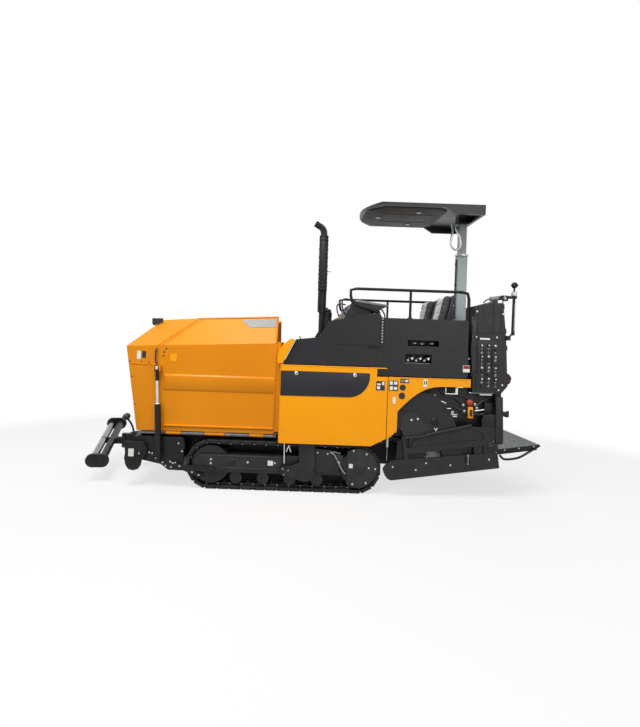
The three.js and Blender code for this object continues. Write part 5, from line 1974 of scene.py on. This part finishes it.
# ---------------------------------------------------------------- rear tower
@dataclass
class CabinetTrim:
    """Hose unions, seams, doors, lamps and the small winch on a rear cabinet."""

    side: Side
    wall: float = 0.885

    def unions(self, trim: Piece) -> None:
        """Three columns of hose unions on a black sheet that is painted shade for their recess, with a pale
        bar over them.

        Args:
            trim: The piece that it is added to.
        """
        y = self.wall
        # A black sheet behind the unions: painted shade for the recess.
        trim.prism(
            [(-2.045, 1.29), (-2.045, 1.85), (-2.29, 1.85), (-2.29, 1.29)], y - 0.002, y + 0.002, SEAL_AND_SHADE
        )
        for column in range(3):
            for row in range(12):
                x = -2.082 - 0.08 * column - 0.0013 * row
                z = 1.8 - 0.0435 * row + 0.004 * (column % 2)
                finish = (STEEL, BLACK, ZINC, STEEL)[(row * 3 + column * 5) % 4]
                trim.rod((x, y, z), (x, y + 0.022, z), 0.015, finish, 6, 0.002)
                trim.rod((x, y + 0.02, z), (x, y + 0.034, z), 0.009, SEAL_AND_SHADE if row % 3 else ZINC, 8, 0.001)
        for column in range(3):
            x = -2.06 - 0.08 * column
            trim.hose(
                [
                    (x, y + 0.004, 1.83), (x + 0.004, y + 0.016, 1.7), (x - 0.006, y + 0.014, 1.5),
                    (x - 0.01, y + 0.003, 1.3),
                ],
                0.007,
            )
        trim.box((-2.18, y, 1.868), (-2.062, y + 0.004, 1.89), LABEL, 0.002, 1)
        spots = [
            (-2.262, 1.901), (-2.342, 1.342), (-2.301, 1.282), (-2.325, 2.179), (-2.02, 2.2), (-2.02, 1.9)
        ]
        trim.bolts([(x, y, z) for x, z in spots], size=0.01)

    def shell(self, trim: Piece) -> None:
        """The lid's seam, the vertical folds and the hose bundle beside the guard rail.

        Args:
            trim: The piece that it is added to.
        """
        y = self.wall
        trim.box((-2.362, y - 0.002, 1.948), (-1.992, y + 0.003, 1.956), BLACK, 0.001, 1)
        for x, low, high in ((-2.03, 1.3, 2.27), (-2.215, 1.96, 2.32), (-2.3, 1.96, 2.35)):
            trim.box((x - 0.004, y - 0.002, low), (x + 0.004, y + 0.003, high), BLACK, 0.001, 1)
        for number in range(3):
            x = -1.972 - 0.014 * number
            trim.hose(
                [
                    (x, y - 0.02, 1.44), (x - 0.01, y + 0.014, 1.52), (x + 0.006, y + 0.016, 1.75),
                    (x - 0.004, y + 0.012, 1.98), (x + 0.002, y - 0.02, 2.14),
                ],
                0.009,
            )
        lug = [(-2.372, 1.5), (-2.425, 1.47), (-2.452, 1.43), (-2.44, 1.375), (-2.395, 1.33)]
        trim.prism(lug, y - 0.03, y - 0.005, BLACK, 0.004)
        trim.bolts([(-2.43, y - 0.005, 1.445), (-2.425, y - 0.005, 1.395)], RED_LENS, 0.01)

    def winch(self, trim: Piece) -> None:
        """The small motor on the lid, its mounting, and the clamp and stay of the lamp's pole.

        Args:
            trim: The piece that it is added to.
        """
        trim.rod((-2.18, 0.845, 2.352), (-2.275, 0.845, 2.366), 0.03, GREY_ABS, 24, 0.004)
        trim.rod((-2.275, 0.845, 2.366), (-2.33, 0.845, 2.374), 0.024, ABS, 20, 0.003)
        trim.box((-2.385, 0.815, 2.335), (-2.3, 0.88, 2.4), BLACK, 0.008)
        trim.rod((-2.34, 0.875, 2.365), (-2.34, 0.9, 2.365), 0.022, STEEL, 18, 0.003)
        trim.box((-2.31, 0.88, 2.305), (-2.255, 0.889, 2.34), ZINC, 0.002)
        trim.hose([(-2.19, 0.83, 2.36), (-2.15, 0.82, 2.345), (-2.12, 0.8, 2.31)], 0.008)

    def back(self, trim: Piece) -> None:
        """Doors, handles, louvres and a lamp on the two sloping rear faces.

        Args:
            trim: The piece that it is added to.
        """
        for low, high in (((-2.405, 1.33), (-2.372, 1.88)), ((-2.372, 1.88), (-2.318, 2.368))):
            length = math.dist(low, high)
            lean = math.atan2(high[0] - low[0], high[1] - low[1])
            face = Matrix.Translation((low[0], 0, low[1])) @ Matrix.Rotation(lean, 4, "Y")
            trim.box((-0.007, 0.582, 0.025), (0.004, 0.863, length - 0.025), CHARCOAL, 0.004, 2, face)
            for z in (0.1, length - 0.1):
                trim.box((-0.016, 0.855, z - 0.03), (-0.002, 0.872, z + 0.03), BLACK, 0.003, 2, face)
            grip = flowing(
                [
                    (-0.006, 0.612, length / 2 - 0.05), (-0.034, 0.612, length / 2 - 0.045),
                    (-0.034, 0.612, length / 2 + 0.045), (-0.006, 0.612, length / 2 + 0.05),
                ]
            )
            trim.tube([face @ p for p in grip], 0.007, STEEL, 8)
            for number in range(5):
                z = length - 0.16 + 0.022 * number
                trim.box((-0.012, 0.66, z), (-0.004, 0.8, z + 0.01), BLACK, 0.002, 1, face)
        trim.box((-2.425, 0.7, 1.375), (-2.396, 0.83, 1.43), ABS, 0.005)
        trim.box((-2.434, 0.706, 1.381), (-2.42, 0.765, 1.424), RED_LENS, 0.003)
        trim.box((-2.434, 0.769, 1.381), (-2.42, 0.824, 1.424), ORANGE_PLASTIC, 0.003)

    def build(self) -> None:
        """Fits all of it."""
        trim = Piece("cabinet_trim", self.side)
        for part in (self.unions, self.shell, self.winch, self.back):
            part(trim)
        trim.done("chassis", "dark_paint")


@dataclass
class LampTrim:
    """The clamp, stay and lens of the lamp on the left cabinet's pole."""

    pole: Point = (-2.44, 0.9)

    def build(self) -> None:
        """Fits them."""
        trim = Piece("rear_lamp_trim")
        x, y = self.pole
        trim.lathe(
            [(0.009, 0), (0.03, 0), (0.034, 0.006), (0.034, 0.04), (0.024, 0.052), (0.009, 0.052)],
            (x, y, 2.395), (x, y, 3), ZINC, 20,
        )
        trim.box((x - 0.03, y - 0.02, 2.36), (x + 0.085, y + 0.02, 2.392), BLACK, 0.006)
        trim.lathe(
            [(0.009, 0), (0.02, 0), (0.02, 0.03), (0.016, 0.44), (0.009, 0.44)], (x, y, 1.93), (x, y, 3),
            BLACK, 14,
        )
        trim.tube([(x - 0.004, y + 0.024, 1.98), (x - 0.004, y + 0.024, 2.3)], 0.006, PALE, 8)
        trim.lathe(
            [(0.0385, -0.003), (0.0415, -0.003), (0.0415, 0.004), (0.0385, 0.004)], (x, y, 2.52), (x, y, 3),
            ABS, 22,
        )
        trim.lathe(
            [(0, 0.012), (0.012, 0.01), (0.02, 0.0)], (x - 0.033, y, 2.52), (x - 1, y, 2.52), CLEAR_LENS, 16
        )
        trim.done("chassis", "black_paint")


@dataclass
class RearApron:
    """The dark sheet below the rear cabinet with what is mounted on it."""

    side: Side
    sheet: float = 0.806

    def build(self) -> None:
        """Hangs the sheet and fits the ball valve, unions, rods, hoses and blank labels."""
        trim = Piece("rear_apron", self.side)
        outline = [
            (-1.4, 1.29), (-1.95, 1.29), (-1.985, 1.232), (-2.33, 1.232), (-2.335, 0.86), (-2.06, 0.8),
            (-1.4, 0.8),
        ]
        trim.prism(outline, self.sheet, self.sheet + 0.012, BLACK, 0.003)
        y = self.sheet + 0.012
        trim.boss(
            [(0, 0.05), (0.018, 0.046), (0.036, 0.032), (0.041, 0.012), (0.036, -0.008), (0.03, -0.012)],
            (-1.985, y, 1.122), RED_CAP, 24,
        )
        trim.box((-2.02, y - 0.002, 0.934), (-1.962, y + 0.052, 1.07), ORANGE_PLASTIC, 0.01, 3)
        trim.box((-2.008, y + 0.05, 0.96), (-1.974, y + 0.055, 1.04), SEAL_AND_SHADE, 0.002, 1)
        for x, z in ((-1.901, 1.091), (-2.04, 1.101), (-2.06, 1.058), (-1.915, 1.02)):
            trim.rod((x, y - 0.002, z), (x, y + 0.045, z), 0.017, ZINC, 6, 0.002)
            trim.rod((x, y + 0.04, z), (x, y + 0.055, z), 0.01, STEEL, 10, 0.001)
        trim.rod((-2.04, y + 0.03, 1.026), (-2.17, y + 0.03, 1.046), 0.01, CHROME, 14)
        trim.box((-2.25, y - 0.002, 1.0), (-2.15, y + 0.05, 1.13), BLACK, 0.01, 3)
        for start, end in (
            ((-1.64, 1.128), (-1.702, 1.102)), ((-1.68, 1.041), (-1.763, 1.044)),
            ((-1.564, 1.205), (-1.566, 1.155)),
        ):
            trim.rod((start[0], y + 0.018, start[1]), (end[0], y + 0.018, end[1]), 0.009, CHROME, 12)
        trim.box((-1.875, y, 0.935), (-1.715, y + 0.006, 1.055), BLACK, 0.003, 1)
        for low, high in (
            ((-1.8, 0.985), (-1.775, 1.012)), ((-1.845, 0.968), (-1.735, 0.978)),
            ((-1.84, 0.942), (-1.79, 0.958)),
        ):
            trim.label(low, high, y + 0.0065)
        routes = (
            [(-1.62, 1.27), (-1.68, 1.2), (-1.8, 1.17), (-1.9, 1.1)],
            [(-1.72, 1.28), (-1.8, 1.22), (-1.92, 1.19), (-2.04, 1.11)],
            [(-1.5, 1.24), (-1.6, 1.1), (-1.75, 1.08), (-1.915, 1.02)],
            [(-2.06, 1.06), (-2.1, 1.12), (-2.18, 1.17), (-2.24, 1.22)],
            [(-2.2, 1.01), (-2.1, 0.98), (-2.07, 0.99), (-2.02, 0.975)],
        )
        for number, route in enumerate(routes):
            depth = y + 0.014 + 0.006 * (number % 3)
            trim.hose([(x, depth, z) for x, z in route], 0.011, sides=10)
        trim.box((-2.228, 0.816, 1.215), (-2.087, 0.88, 1.228), LABEL, 0.003)
        trim.box((-2.345, 0.816, 1.08), (-2.268, 0.862, 1.3), BLACK, 0.006)
        clip = [(-1.672, 1.296), (-1.672, 1.222), (-1.808, 1.222), (-1.808, 1.296)]
        trim.tube([(x, 0.918, z) for x, z in clip], 0.0075, LABEL, 8)
        trim.box((-1.812, 0.914, 1.224), (-1.786, 0.922, 1.296), LABEL, 0.002, 1)
        trim.done("chassis", "black_paint")


# ---------------------------------------------------------------- screed
SCREED_PIN = Vector((0.18, 0.0, 0.245))
SCREED_LIFT = math.radians(8.4)
SCREED_FRAME = Matrix.Translation(SCREED_PIN) @ Matrix.Rotation(
    SCREED_LIFT, 4, "Y"
) @ Matrix.Translation(-SCREED_PIN)


@dataclass
class TowArmTrim:
    """Pivot rings, bolts, a black plate that is painted shade for the recess, and the stiffening edge of a
    tow arm.
    """

    side: Side
    face: float = 0.893

    def build(self) -> None:
        """Fits them."""
        trim = Piece("tow_arm_trim", self.side)
        y = self.face
        recess = [
            (-1.164, 0.829), (-1.195, 0.94), (-1.225, 0.962), (-1.335, 0.965), (-1.375, 0.945),
            (-1.395, 0.89), (-1.47, 0.845), (-1.52, 0.782), (-1.505, 0.7), (-1.2, 0.69),
        ]
        # A black plate in the recess: painted shade that stands for its depth.
        trim.prism(recess, y - 0.002, y + 0.0015, SEAL_AND_SHADE, 0.001, 1)
        trim.bolts([(-1.287, y + 0.001, 0.898), (-1.362, y + 0.001, 0.912)], ZINC, 0.011)
        ring = [(0, 0.004), (0.018, 0.004), (0.02, 0.014), (0.034, 0.014), (0.046, 0.006), (0.048, -0.002)]
        trim.boss(ring, (-1.566, y, 0.888), BLACK, 26)
        for route in ([(-1.56, 0.812), (-1.576, 0.79), (-1.576, 0.764)], [(-1.594, 0.812), (-1.578, 0.79)]):
            trim.tube([(x, y + 0.004, z) for x, z in route], 0.006, LABEL, 8)
        pin = [(0, 0.022), (0.026, 0.022), (0.032, 0.016), (0.034, 0.004), (0.05, 0.004), (0.054, -0.002)]
        trim.boss(pin, (0.18, y, 0.245), CHARCOAL, 26)
        trim.bolts(
            [(0.18 + 0.04 * math.cos(a), y + 0.003, 0.245 + 0.04 * math.sin(a)) for a in (0.8, 2.9, 5.0)],
            ZINC, 0.007,
        )
        edge = [
            (-1.135, 0.985), (-1.271, 1.142), (-1.33, 1.186), (-1.387, 1.214), (-1.45, 1.212),
            (-1.506, 1.194), (-1.579, 1.15), (-1.64, 1.08), (-1.714, 0.992),
        ]
        trim.tube(flowing([(x, y - 0.004, z) for x, z in edge], 3), 0.008, CHARCOAL, 8)
        trim.done("screed", "dark_paint")


@dataclass
class LevellingTrim:
    """The levelling rod and its clip in front of the tow point."""

    side: Side

    def build(self) -> None:
        """Fits them."""
        trim = Piece("levelling_trim", self.side)
        trim.rod((0.19, 0.912, 0.335), (0.195, 0.912, 0.575), 0.0075, CHROME, 14)
        trim.rod((0.188, 0.912, 0.3), (0.19, 0.912, 0.345), 0.013, BLACK, 14, 0.002)
        for route in ([(0.168, 0.478), (0.142, 0.556)], [(0.142, 0.556), (0.116, 0.478)]):
            trim.tube([(x, 0.912, z) for x, z in route], 0.005, LABEL, 8)
        trim.done("chassis", "chrome")


@dataclass
class ScreedTop:
    """Walkway, tie rods, heater boxes and hoses on the main screed."""

    front: float = -1.665
    rear: float = -1.995
    top: float = 0.455

    def build(self) -> None:
        """Fits them, drawn with the screed flat."""
        trim = Piece("screed_trim", None, SCREED_FRAME)
        for way in (1, -1):
            low, high = sorted((way * 0.06, way * 0.64))
            trim.box(
                (self.rear + 0.02, low, self.top), (self.front - 0.07, high, self.top + 0.006), TREAD,
                0.002, 1,
            )
            spots = [(row, column) for row in range(5) for column in range(12)]
            trim.studs(
                [
                    (self.rear + 0.05 + 0.046 * i, way * (0.088 + 0.048 * j), self.top + 0.006)
                    for i, j in spots
                ],
                0.009, 0.003,
            )
            trim.box(
                (self.front - 0.062, low, self.top), (self.front - 0.012, high, self.top + 0.04), CHARCOAL,
                0.005,
            )
            route = [
                (self.front - 0.037, way * y, self.top + 0.048 + 0.01 * math.sin(9 * y))
                for y in (0.08, 0.2, 0.32, 0.44, 0.56, 0.64)
            ]
            trim.hose(route, 0.01, sides=10)
            for y in (0.12, 0.36, 0.6):
                trim.bolts(
                    [(self.rear, way * y, 0.4), (self.rear, way * y, 0.06)], ZINC, 0.01, facing=(-1, 0, 0)
                )
        trim.rod((-1.83, -0.2, self.top + 0.05), (-1.83, 0.2, self.top + 0.05), 0.014, CHROME, 16)
        trim.rod((-1.83, -0.06, self.top + 0.05), (-1.83, 0.06, self.top + 0.05), 0.026, CHARCOAL, 6, 0.003)
        for y in (-0.2, 0.2):
            trim.box((-1.855, y - 0.014, self.top), (-1.805, y + 0.014, self.top + 0.078), CHARCOAL, 0.005)
        trim.done("screed", "dark_paint")


@dataclass
class ExtensionTrim:
    """The end plate's cap, stops, panel and post, and the walkway of a screed extension."""

    side: Side
    face: float = 0.929

    def end_plate(self, trim: Piece) -> None:
        """What shows on the outside: cap, bolts, depth stop, infill panel, upper rail and post.

        Args:
            trim: The piece that it is added to.
        """
        y = self.face
        trim.boss(
            [(0, 0.018), (0.03, 0.018), (0.036, 0.012), (0.06, 0.012), (0.066, 0.004), (0.066, -0.002)],
            (-2.235, y, 0.616), CHARCOAL, 28,
        )
        trim.bolts(
            [(-1.467, y, 0.405), (-1.078, y, 0.345), (-1.35, y, 0.32), (-2.2, y, 0.47), (-1.75, y, 0.39)],
            ZINC, 0.009,
        )
        trim.box((-1.98, y - 0.002, 0.425), (-1.922, y + 0.018, 0.5), BLACK, 0.004)
        trim.rod((-1.951, y + 0.008, 0.405), (-1.951, y + 0.008, 0.525), 0.011, STEEL, 12, 0.002)
        panel = [
            (-1.25, 0.552), (-1.3, 0.62), (-1.44, 0.716), (-1.985, 0.848), (-2.268, 0.84), (-2.28, 0.69)
        ]
        trim.prism(panel, y - 0.022, y - 0.014, CHARCOAL, 0.002, 1)
        trim.tube([(-1.45, y - 0.012, 0.729), (-1.986, y - 0.012, 0.862)], 0.021, CHARCOAL, 14)
        for low, high in (((-1.5, 0.585), (-1.512, 0.735)), ((-1.735, 0.615), (-1.745, 0.79))):
            trim.tube([(low[0], y - 0.016, low[1]), (high[0], y - 0.016, high[1])], 0.009, CHARCOAL, 8)
        trim.box((-1.3, y - 0.016, 0.59), (-1.26, y - 0.004, 0.69), BLACK, 0.004)
        post = [
            (-2.258, 1.205), (-2.342, 1.205), (-2.362, 0.69), (-2.352, 0.65), (-2.28, 0.65), (-2.272, 0.7)
        ]
        trim.prism(post, y - 0.06, y - 0.002, CHARCOAL, 0.006)
        hook = [
            (-2.335, 1.045), (-2.385, 1.03), (-2.405, 1.045), (-2.425, 1.04), (-2.425, 0.975),
            (-2.405, 0.965), (-2.34, 0.985),
        ]
        trim.prism(hook, y - 0.045, y - 0.02, BLACK, 0.004)
        trim.bolts([(-2.3, y - 0.002, 1.15), (-2.305, y - 0.002, 0.8)], CHARCOAL, 0.01)
        body = [(-2.11, 0.8), (-2.105, 0.93), (-2.13, 0.985), (-2.2, 1.005), (-2.275, 0.995), (-2.28, 0.8)]
        trim.prism(body, y - 0.048, y - 0.016, BLACK, 0.01, 3)
        toe = [(-1.115, 0.4), (-1.13, 0.64), (-1.25, 0.7), (-1.45, 0.72), (-1.45, 0.4)]
        trim.prism(toe, y - 0.032, y - 0.024, BLACK, 0.002, 1)

    def deck(self, trim: Piece) -> None:
        """The tread plate and the crank on top of the sliding box.

        Args:
            trim: The piece that it is added to.
        """
        plan = Piece("plan")
        plan.box((-2.285, 0.06, 0.385), (-2.02, 0.85, 0.39), TREAD, 0.002, 1)
        spots = [(row, column) for row in range(5) for column in range(16)]
        plan.studs([(-2.262 + 0.048 * i, 0.09 + 0.048 * j, 0.39) for i, j in spots], 0.009, 0.003)
        plan.rod((-2.06, 0.45, 0.39), (-2.06, 0.45, 0.52), 0.014, STEEL, 14, 0.002)
        ring = [
            (-2.06 + 0.062 * math.cos(a), 0.45 + 0.062 * math.sin(a), 0.52)
            for a in (math.tau * i / 24 for i in range(25))
        ]
        plan.tube(ring, 0.008, ABS, 8)
        for a in (0.3, 2.4, 4.5):
            plan.tube(
                [(-2.06, 0.45, 0.515), (-2.06 + 0.062 * math.cos(a), 0.45 + 0.062 * math.sin(a), 0.52)],
                0.006, ABS, 6,
            )
        plan.bolts(
            [(-2.3, y, z) for y in (0.12, 0.36, 0.6, 0.82) for z in (0.05, 0.33)], ZINC, 0.01,
            facing=(-1, 0, 0),
        )
        trim.finishes += [finish for finish in plan.finishes if finish not in trim.finishes]
        order = [trim.finishes.index(finish) for finish in plan.finishes]
        for face in plan.mesh.faces:
            face.material_index = order[face.material_index]
        trim.stamp(plan.pattern(), SCREED_FRAME)

    def build(self) -> None:
        """Fits all of it."""
        trim = Piece("extension_trim", self.side)
        self.end_plate(trim)
        self.deck(trim)
        trim.done("screed_extension_*", "dark_paint")


@dataclass
class FootboardTrim:
    """The studded tread, edge bolts and bent stays of the rear footboard."""

    front: float = -2.338
    rear: float = -2.876
    half: float = 0.8
    top: float = 0.194

    def build(self) -> None:
        """Fits them, drawn with the screed flat."""
        trim = Piece("footboard_trim", None, SCREED_FRAME)
        trim.box(
            (self.rear + 0.004, -self.half + 0.004, self.top - 0.001),
            (self.front - 0.03, self.half - 0.004, self.top + 0.003), TREAD, 0.002, 1,
        )
        for row in range(9):
            x = self.rear + 0.05 + 0.053 * row
            start = -self.half + 0.05 + (0.012 if row % 2 else -0.012)
            trim.studs(
                [(x, start + 0.0555 * column, self.top + 0.003) for column in range(28)], 0.011, 0.0035
            )
        for way in (1, -1):
            y = way * self.half
            trim.bolts(
                [(x, y, self.top - 0.013) for x in (-2.45, -2.62, -2.8)], ZINC, 0.007, facing=(0, way, 0)
            )
            route = [
                (-2.395, 0.11), (-2.43, 0.062), (-2.5, 0.048), (-2.62, 0.056), (-2.74, 0.105), (-2.86, 0.16)
            ]
            trim.hose([(x, way * 0.775, z + 0.01) for x, z in route], 0.014, CHARCOAL, 10)
        trim.bolts(
            [(-2.862, y, self.top + 0.003) for y in (-0.76, -0.38, 0, 0.38, 0.76)], ZINC, 0.009,
            facing=(0, 0, 1),
        )
        trim.done("footboard", "black_paint")


@dataclass
class LiftTrim:
    """The gland on a screed lift cylinder."""

    side: Side

    def build(self) -> None:
        """Adds a gland to the barrel."""
        trim = Piece("lift_gland", self.side)
        top = Vector((-1.8, 0.74, 1.262))
        foot = SCREED_FRAME @ Vector((-1.87, 0.74, 0.5))
        way = (foot - top).normalized()
        neck = top + way * 0.385
        trim.lathe(
            [(0.022, 0), (0.034, 0), (0.034, 0.02), (0.028, 0.028), (0.022, 0.028)], neck, foot, ZINC, 20
        )
        trim.done("lift_barrel_*", "black_paint")


# The finish of each imported solid; a stem stands for both sides. The hopper wing's deeper amber is painted
# shade.
NODE_FINISHES = {
    "main_frame": BLACK, "nose_frame": BLACK, "track": RUBBER, "track_frame": CHARCOAL,
    "hopper_floor": FLOOR_STEEL, "conveyor": STEEL, "engine_bay": BLACK, "engine_block": CHARCOAL,
    "rear_quarter": AMBER, "rear_frame": BLACK, "body_side": CHARCOAL, "hood_deck": CHARCOAL,
    "console": ABS, "platform_floor": BLACK, "seat": SEAT_CLOTH, "guard_rail": BLACK, "corner_cover": AMBER,
    "exhaust_stack": BLACK, "air_cleaner": ABS, "canopy_mast": PALE, "rear_cabinet": CHARCOAL,
    "rear_lamp": BLACK, "hopper_wing": AMBER_SHADED, "wing_barrel": BLACK, "wing_rod": CHROME,
    "push_knuckle": BLACK, "push_beam": BLACK, "push_roller": TUBE, "auger": STEEL, "side_door": AMBER,
    "engine_hood": CHARCOAL, "canopy_roof": ROOF, "canopy_post": PALE, "tow_arm": CHARCOAL,
    "screed_body": CHARCOAL, "screed_extension": CHARCOAL, "footboard": BLACK, "lift_barrel": BLACK,
    "lift_rod": CHROME,
}
# What is made for each side, and what is made once.
PAIRS = (
    Track, TrackFrameTrim, NoseTrim, WingTrim, CylinderTrim, DoorTrim, FlankTrim, Seat, RailTrim,
    CabinetTrim, RearApron, TowArmTrim, LevellingTrim, ExtensionTrim, LiftTrim,
)
SINGLES = (
    PushRollers, HopperInside, HoodTrim, ExhaustTrim, ConsoleTrim, PlatformDeck, CanopyTrim, MastTrim,
    LampTrim, ScreedTop, FootboardTrim,
)


# ---------------------------------------------------------------- studio
@dataclass
class Studio:
    """The floor, the soft lights and the camera."""

    eye: tuple[float, float, float] = (0.1225, 7.0, 1.756)
    roll: float = 0.034
    focal: float = 520.0
    frame_size: tuple[int, int] = (640, 727)
    axis_at: tuple[float, float] = (295.0, 343.0)
    floor_half: float = 60.0
    fade: Point = (3.4, 7.0)

    def camera(self) -> None:
        """Stands the camera level with the machine's flank, a little rolled."""
        data = bpy.data.cameras.new("camera")
        longest = max(self.frame_size)
        data.sensor_width = 36.0
        data.lens = self.focal / longest * data.sensor_width
        data.shift_x = (self.frame_size[0] / 2 - self.axis_at[0]) / longest
        data.shift_y = (self.axis_at[1] - self.frame_size[1] / 2) / longest
        data.clip_end = 300
        made = bpy.data.objects.new("camera", data)
        bpy.context.scene.collection.objects.link(made)
        cos, sin = math.cos(self.roll), math.sin(self.roll)
        x, y, z = self.eye
        made.matrix_world = Matrix(((-cos, sin, 0, x), (0, 0, 1, y), (sin, cos, 0, z), (0, 0, 0, 1)))
        bpy.context.scene.camera = made

    def seen(self, tree: Tree) -> Socket:
        """Tells the rays that show a thing from the rays that light others.

        Args:
            tree: The tree that asks.

        Returns:
            1 for rays from the camera, off a mirror or through glass, and 0 for others.
        """
        rays = add_node(tree, "ShaderNodeLightPath").outputs
        seen = rays["Is Camera Ray"]
        for other in ("Is Glossy Ray", "Is Transmission Ray"):
            inputs = {0: seen, 1: rays[other]}
            seen = add_node(tree, "ShaderNodeMath", {"operation": "MAXIMUM"}, inputs).outputs[0]
        return seen

    def floor(self) -> None:
        """Lays a pale floor that keeps the shadow and turns plain white further out."""
        mesh = bmesh.new()
        bmesh.ops.create_grid(mesh, x_segments=1, y_segments=1, size=self.floor_half)
        bmesh.ops.translate(mesh, verts=mesh.verts, vec=(0, 0, -0.001))
        data = bpy.data.meshes.new("floor")
        mesh.to_mesh(data)
        mesh.free()
        made = bpy.data.objects.new("floor", data)
        bpy.context.scene.collection.objects.link(made)
        material = bpy.data.materials.new("matt_white_floor")
        material.use_nodes = True
        tree = material.node_tree
        tree.nodes.clear()
        where = add_node(tree, "ShaderNodeTexCoord").outputs["Object"]
        reach = add_node(tree, "ShaderNodeVectorMath", {"operation": "LENGTH"}, {0: where}).outputs["Value"]
        inputs = {"Value": reach, "From Min": self.fade[0], "From Max": self.fade[1]}
        far = add_node(tree, "ShaderNodeMapRange", {"interpolation_type": "SMOOTHSTEP"}, inputs).outputs[0]
        seen = self.seen(tree)
        tone = add_node(
            tree, "ShaderNodeMix", {"data_type": "RGBA"},
            {0: seen, 6: linear("#8C8C8C"), 7: linear("#D8D8D8")},
        ).outputs[2]
        matt = add_node(tree, "ShaderNodeBsdfDiffuse", inputs={"Color": tone}).outputs[0]
        white = add_node(
            tree, "ShaderNodeEmission", inputs={"Color": (1, 1, 1, 1), "Strength": 1.0}
        ).outputs[0]
        lift = add_node(tree, "ShaderNodeMath", {"operation": "MAXIMUM"}, {0: far, 1: 0.7}).outputs[0]
        share = add_node(tree, "ShaderNodeMath", {"operation": "MULTIPLY"}, {0: lift, 1: seen}).outputs[0]
        both = add_node(tree, "ShaderNodeMixShader", inputs={0: share, 1: matt, 2: white}).outputs[0]
        add_node(tree, "ShaderNodeOutputMaterial", inputs={"Surface": both})
        data.materials.append(material)

    def light(
        self, name: str, place: Sequence[float], target: Sequence[float], size: float, power: float
    ) -> None:
        """Hangs one soft square lamp.

        Args:
            name: The lamp's name.
            place: Where it hangs.
            target: What it points at.
            size: Its width and height.
            power: Its power in watts.
        """
        data = bpy.data.lights.new(name, "AREA")
        data.shape = "SQUARE"
        data.size = size
        data.energy = power
        made = bpy.data.objects.new(name, data)
        bpy.context.scene.collection.objects.link(made)
        aim = (Vector(target) - Vector(place)).to_track_quat("-Z", "Y").to_matrix().to_4x4()
        made.matrix_world = Matrix.Translation(place) @ aim

    def sky(self) -> None:
        """Fills the room with an even pale light, and shows it as white."""
        world = bpy.data.worlds.new("studio")
        bpy.context.scene.world = world
        world.use_nodes = True
        tree = world.node_tree
        tree.nodes.clear()
        seen = self.seen(tree)
        inputs = {"Value": seen, "To Min": 0.42, "To Max": 1.0}
        strength = add_node(tree, "ShaderNodeMapRange", inputs=inputs).outputs[0]
        inputs = {"Color": (1, 1, 1, 1), "Strength": strength}
        air = add_node(tree, "ShaderNodeBackground", inputs=inputs).outputs[0]
        add_node(tree, "ShaderNodeOutputWorld", inputs={"Surface": air})

    def build(self) -> None:
        """Sets the whole studio up."""
        self.camera()
        self.floor()
        self.sky()
        self.light("key", (2.4, 4.8, 8.8), (0, 0, 1.0), 5.0, 880)
        self.light("fill", (-4.5, 7.5, 4.0), (0, 0, 1.2), 5.0, 120)
        self.light("back", (-2.0, -7.0, 7.5), (0, 0, 1.2), 6.0, 330)
        LOG.info("studio: floor, sky, 3 lamps and the camera")


def main() -> None:
    """Builds the machine's looks and the studio, in order."""
    logging.basicConfig(level=logging.INFO, format="%(name)s: %(message)s")
    bpy.context.scene.view_settings.view_transform = "Standard"
    Bodywork(finishes=NODE_FINISHES).build()
    for side in Side:
        for kind in PAIRS:
            kind(side).build()
    for kind in SINGLES:
        kind().build()
    Studio().build()


if __name__ == "__main__":
    main()
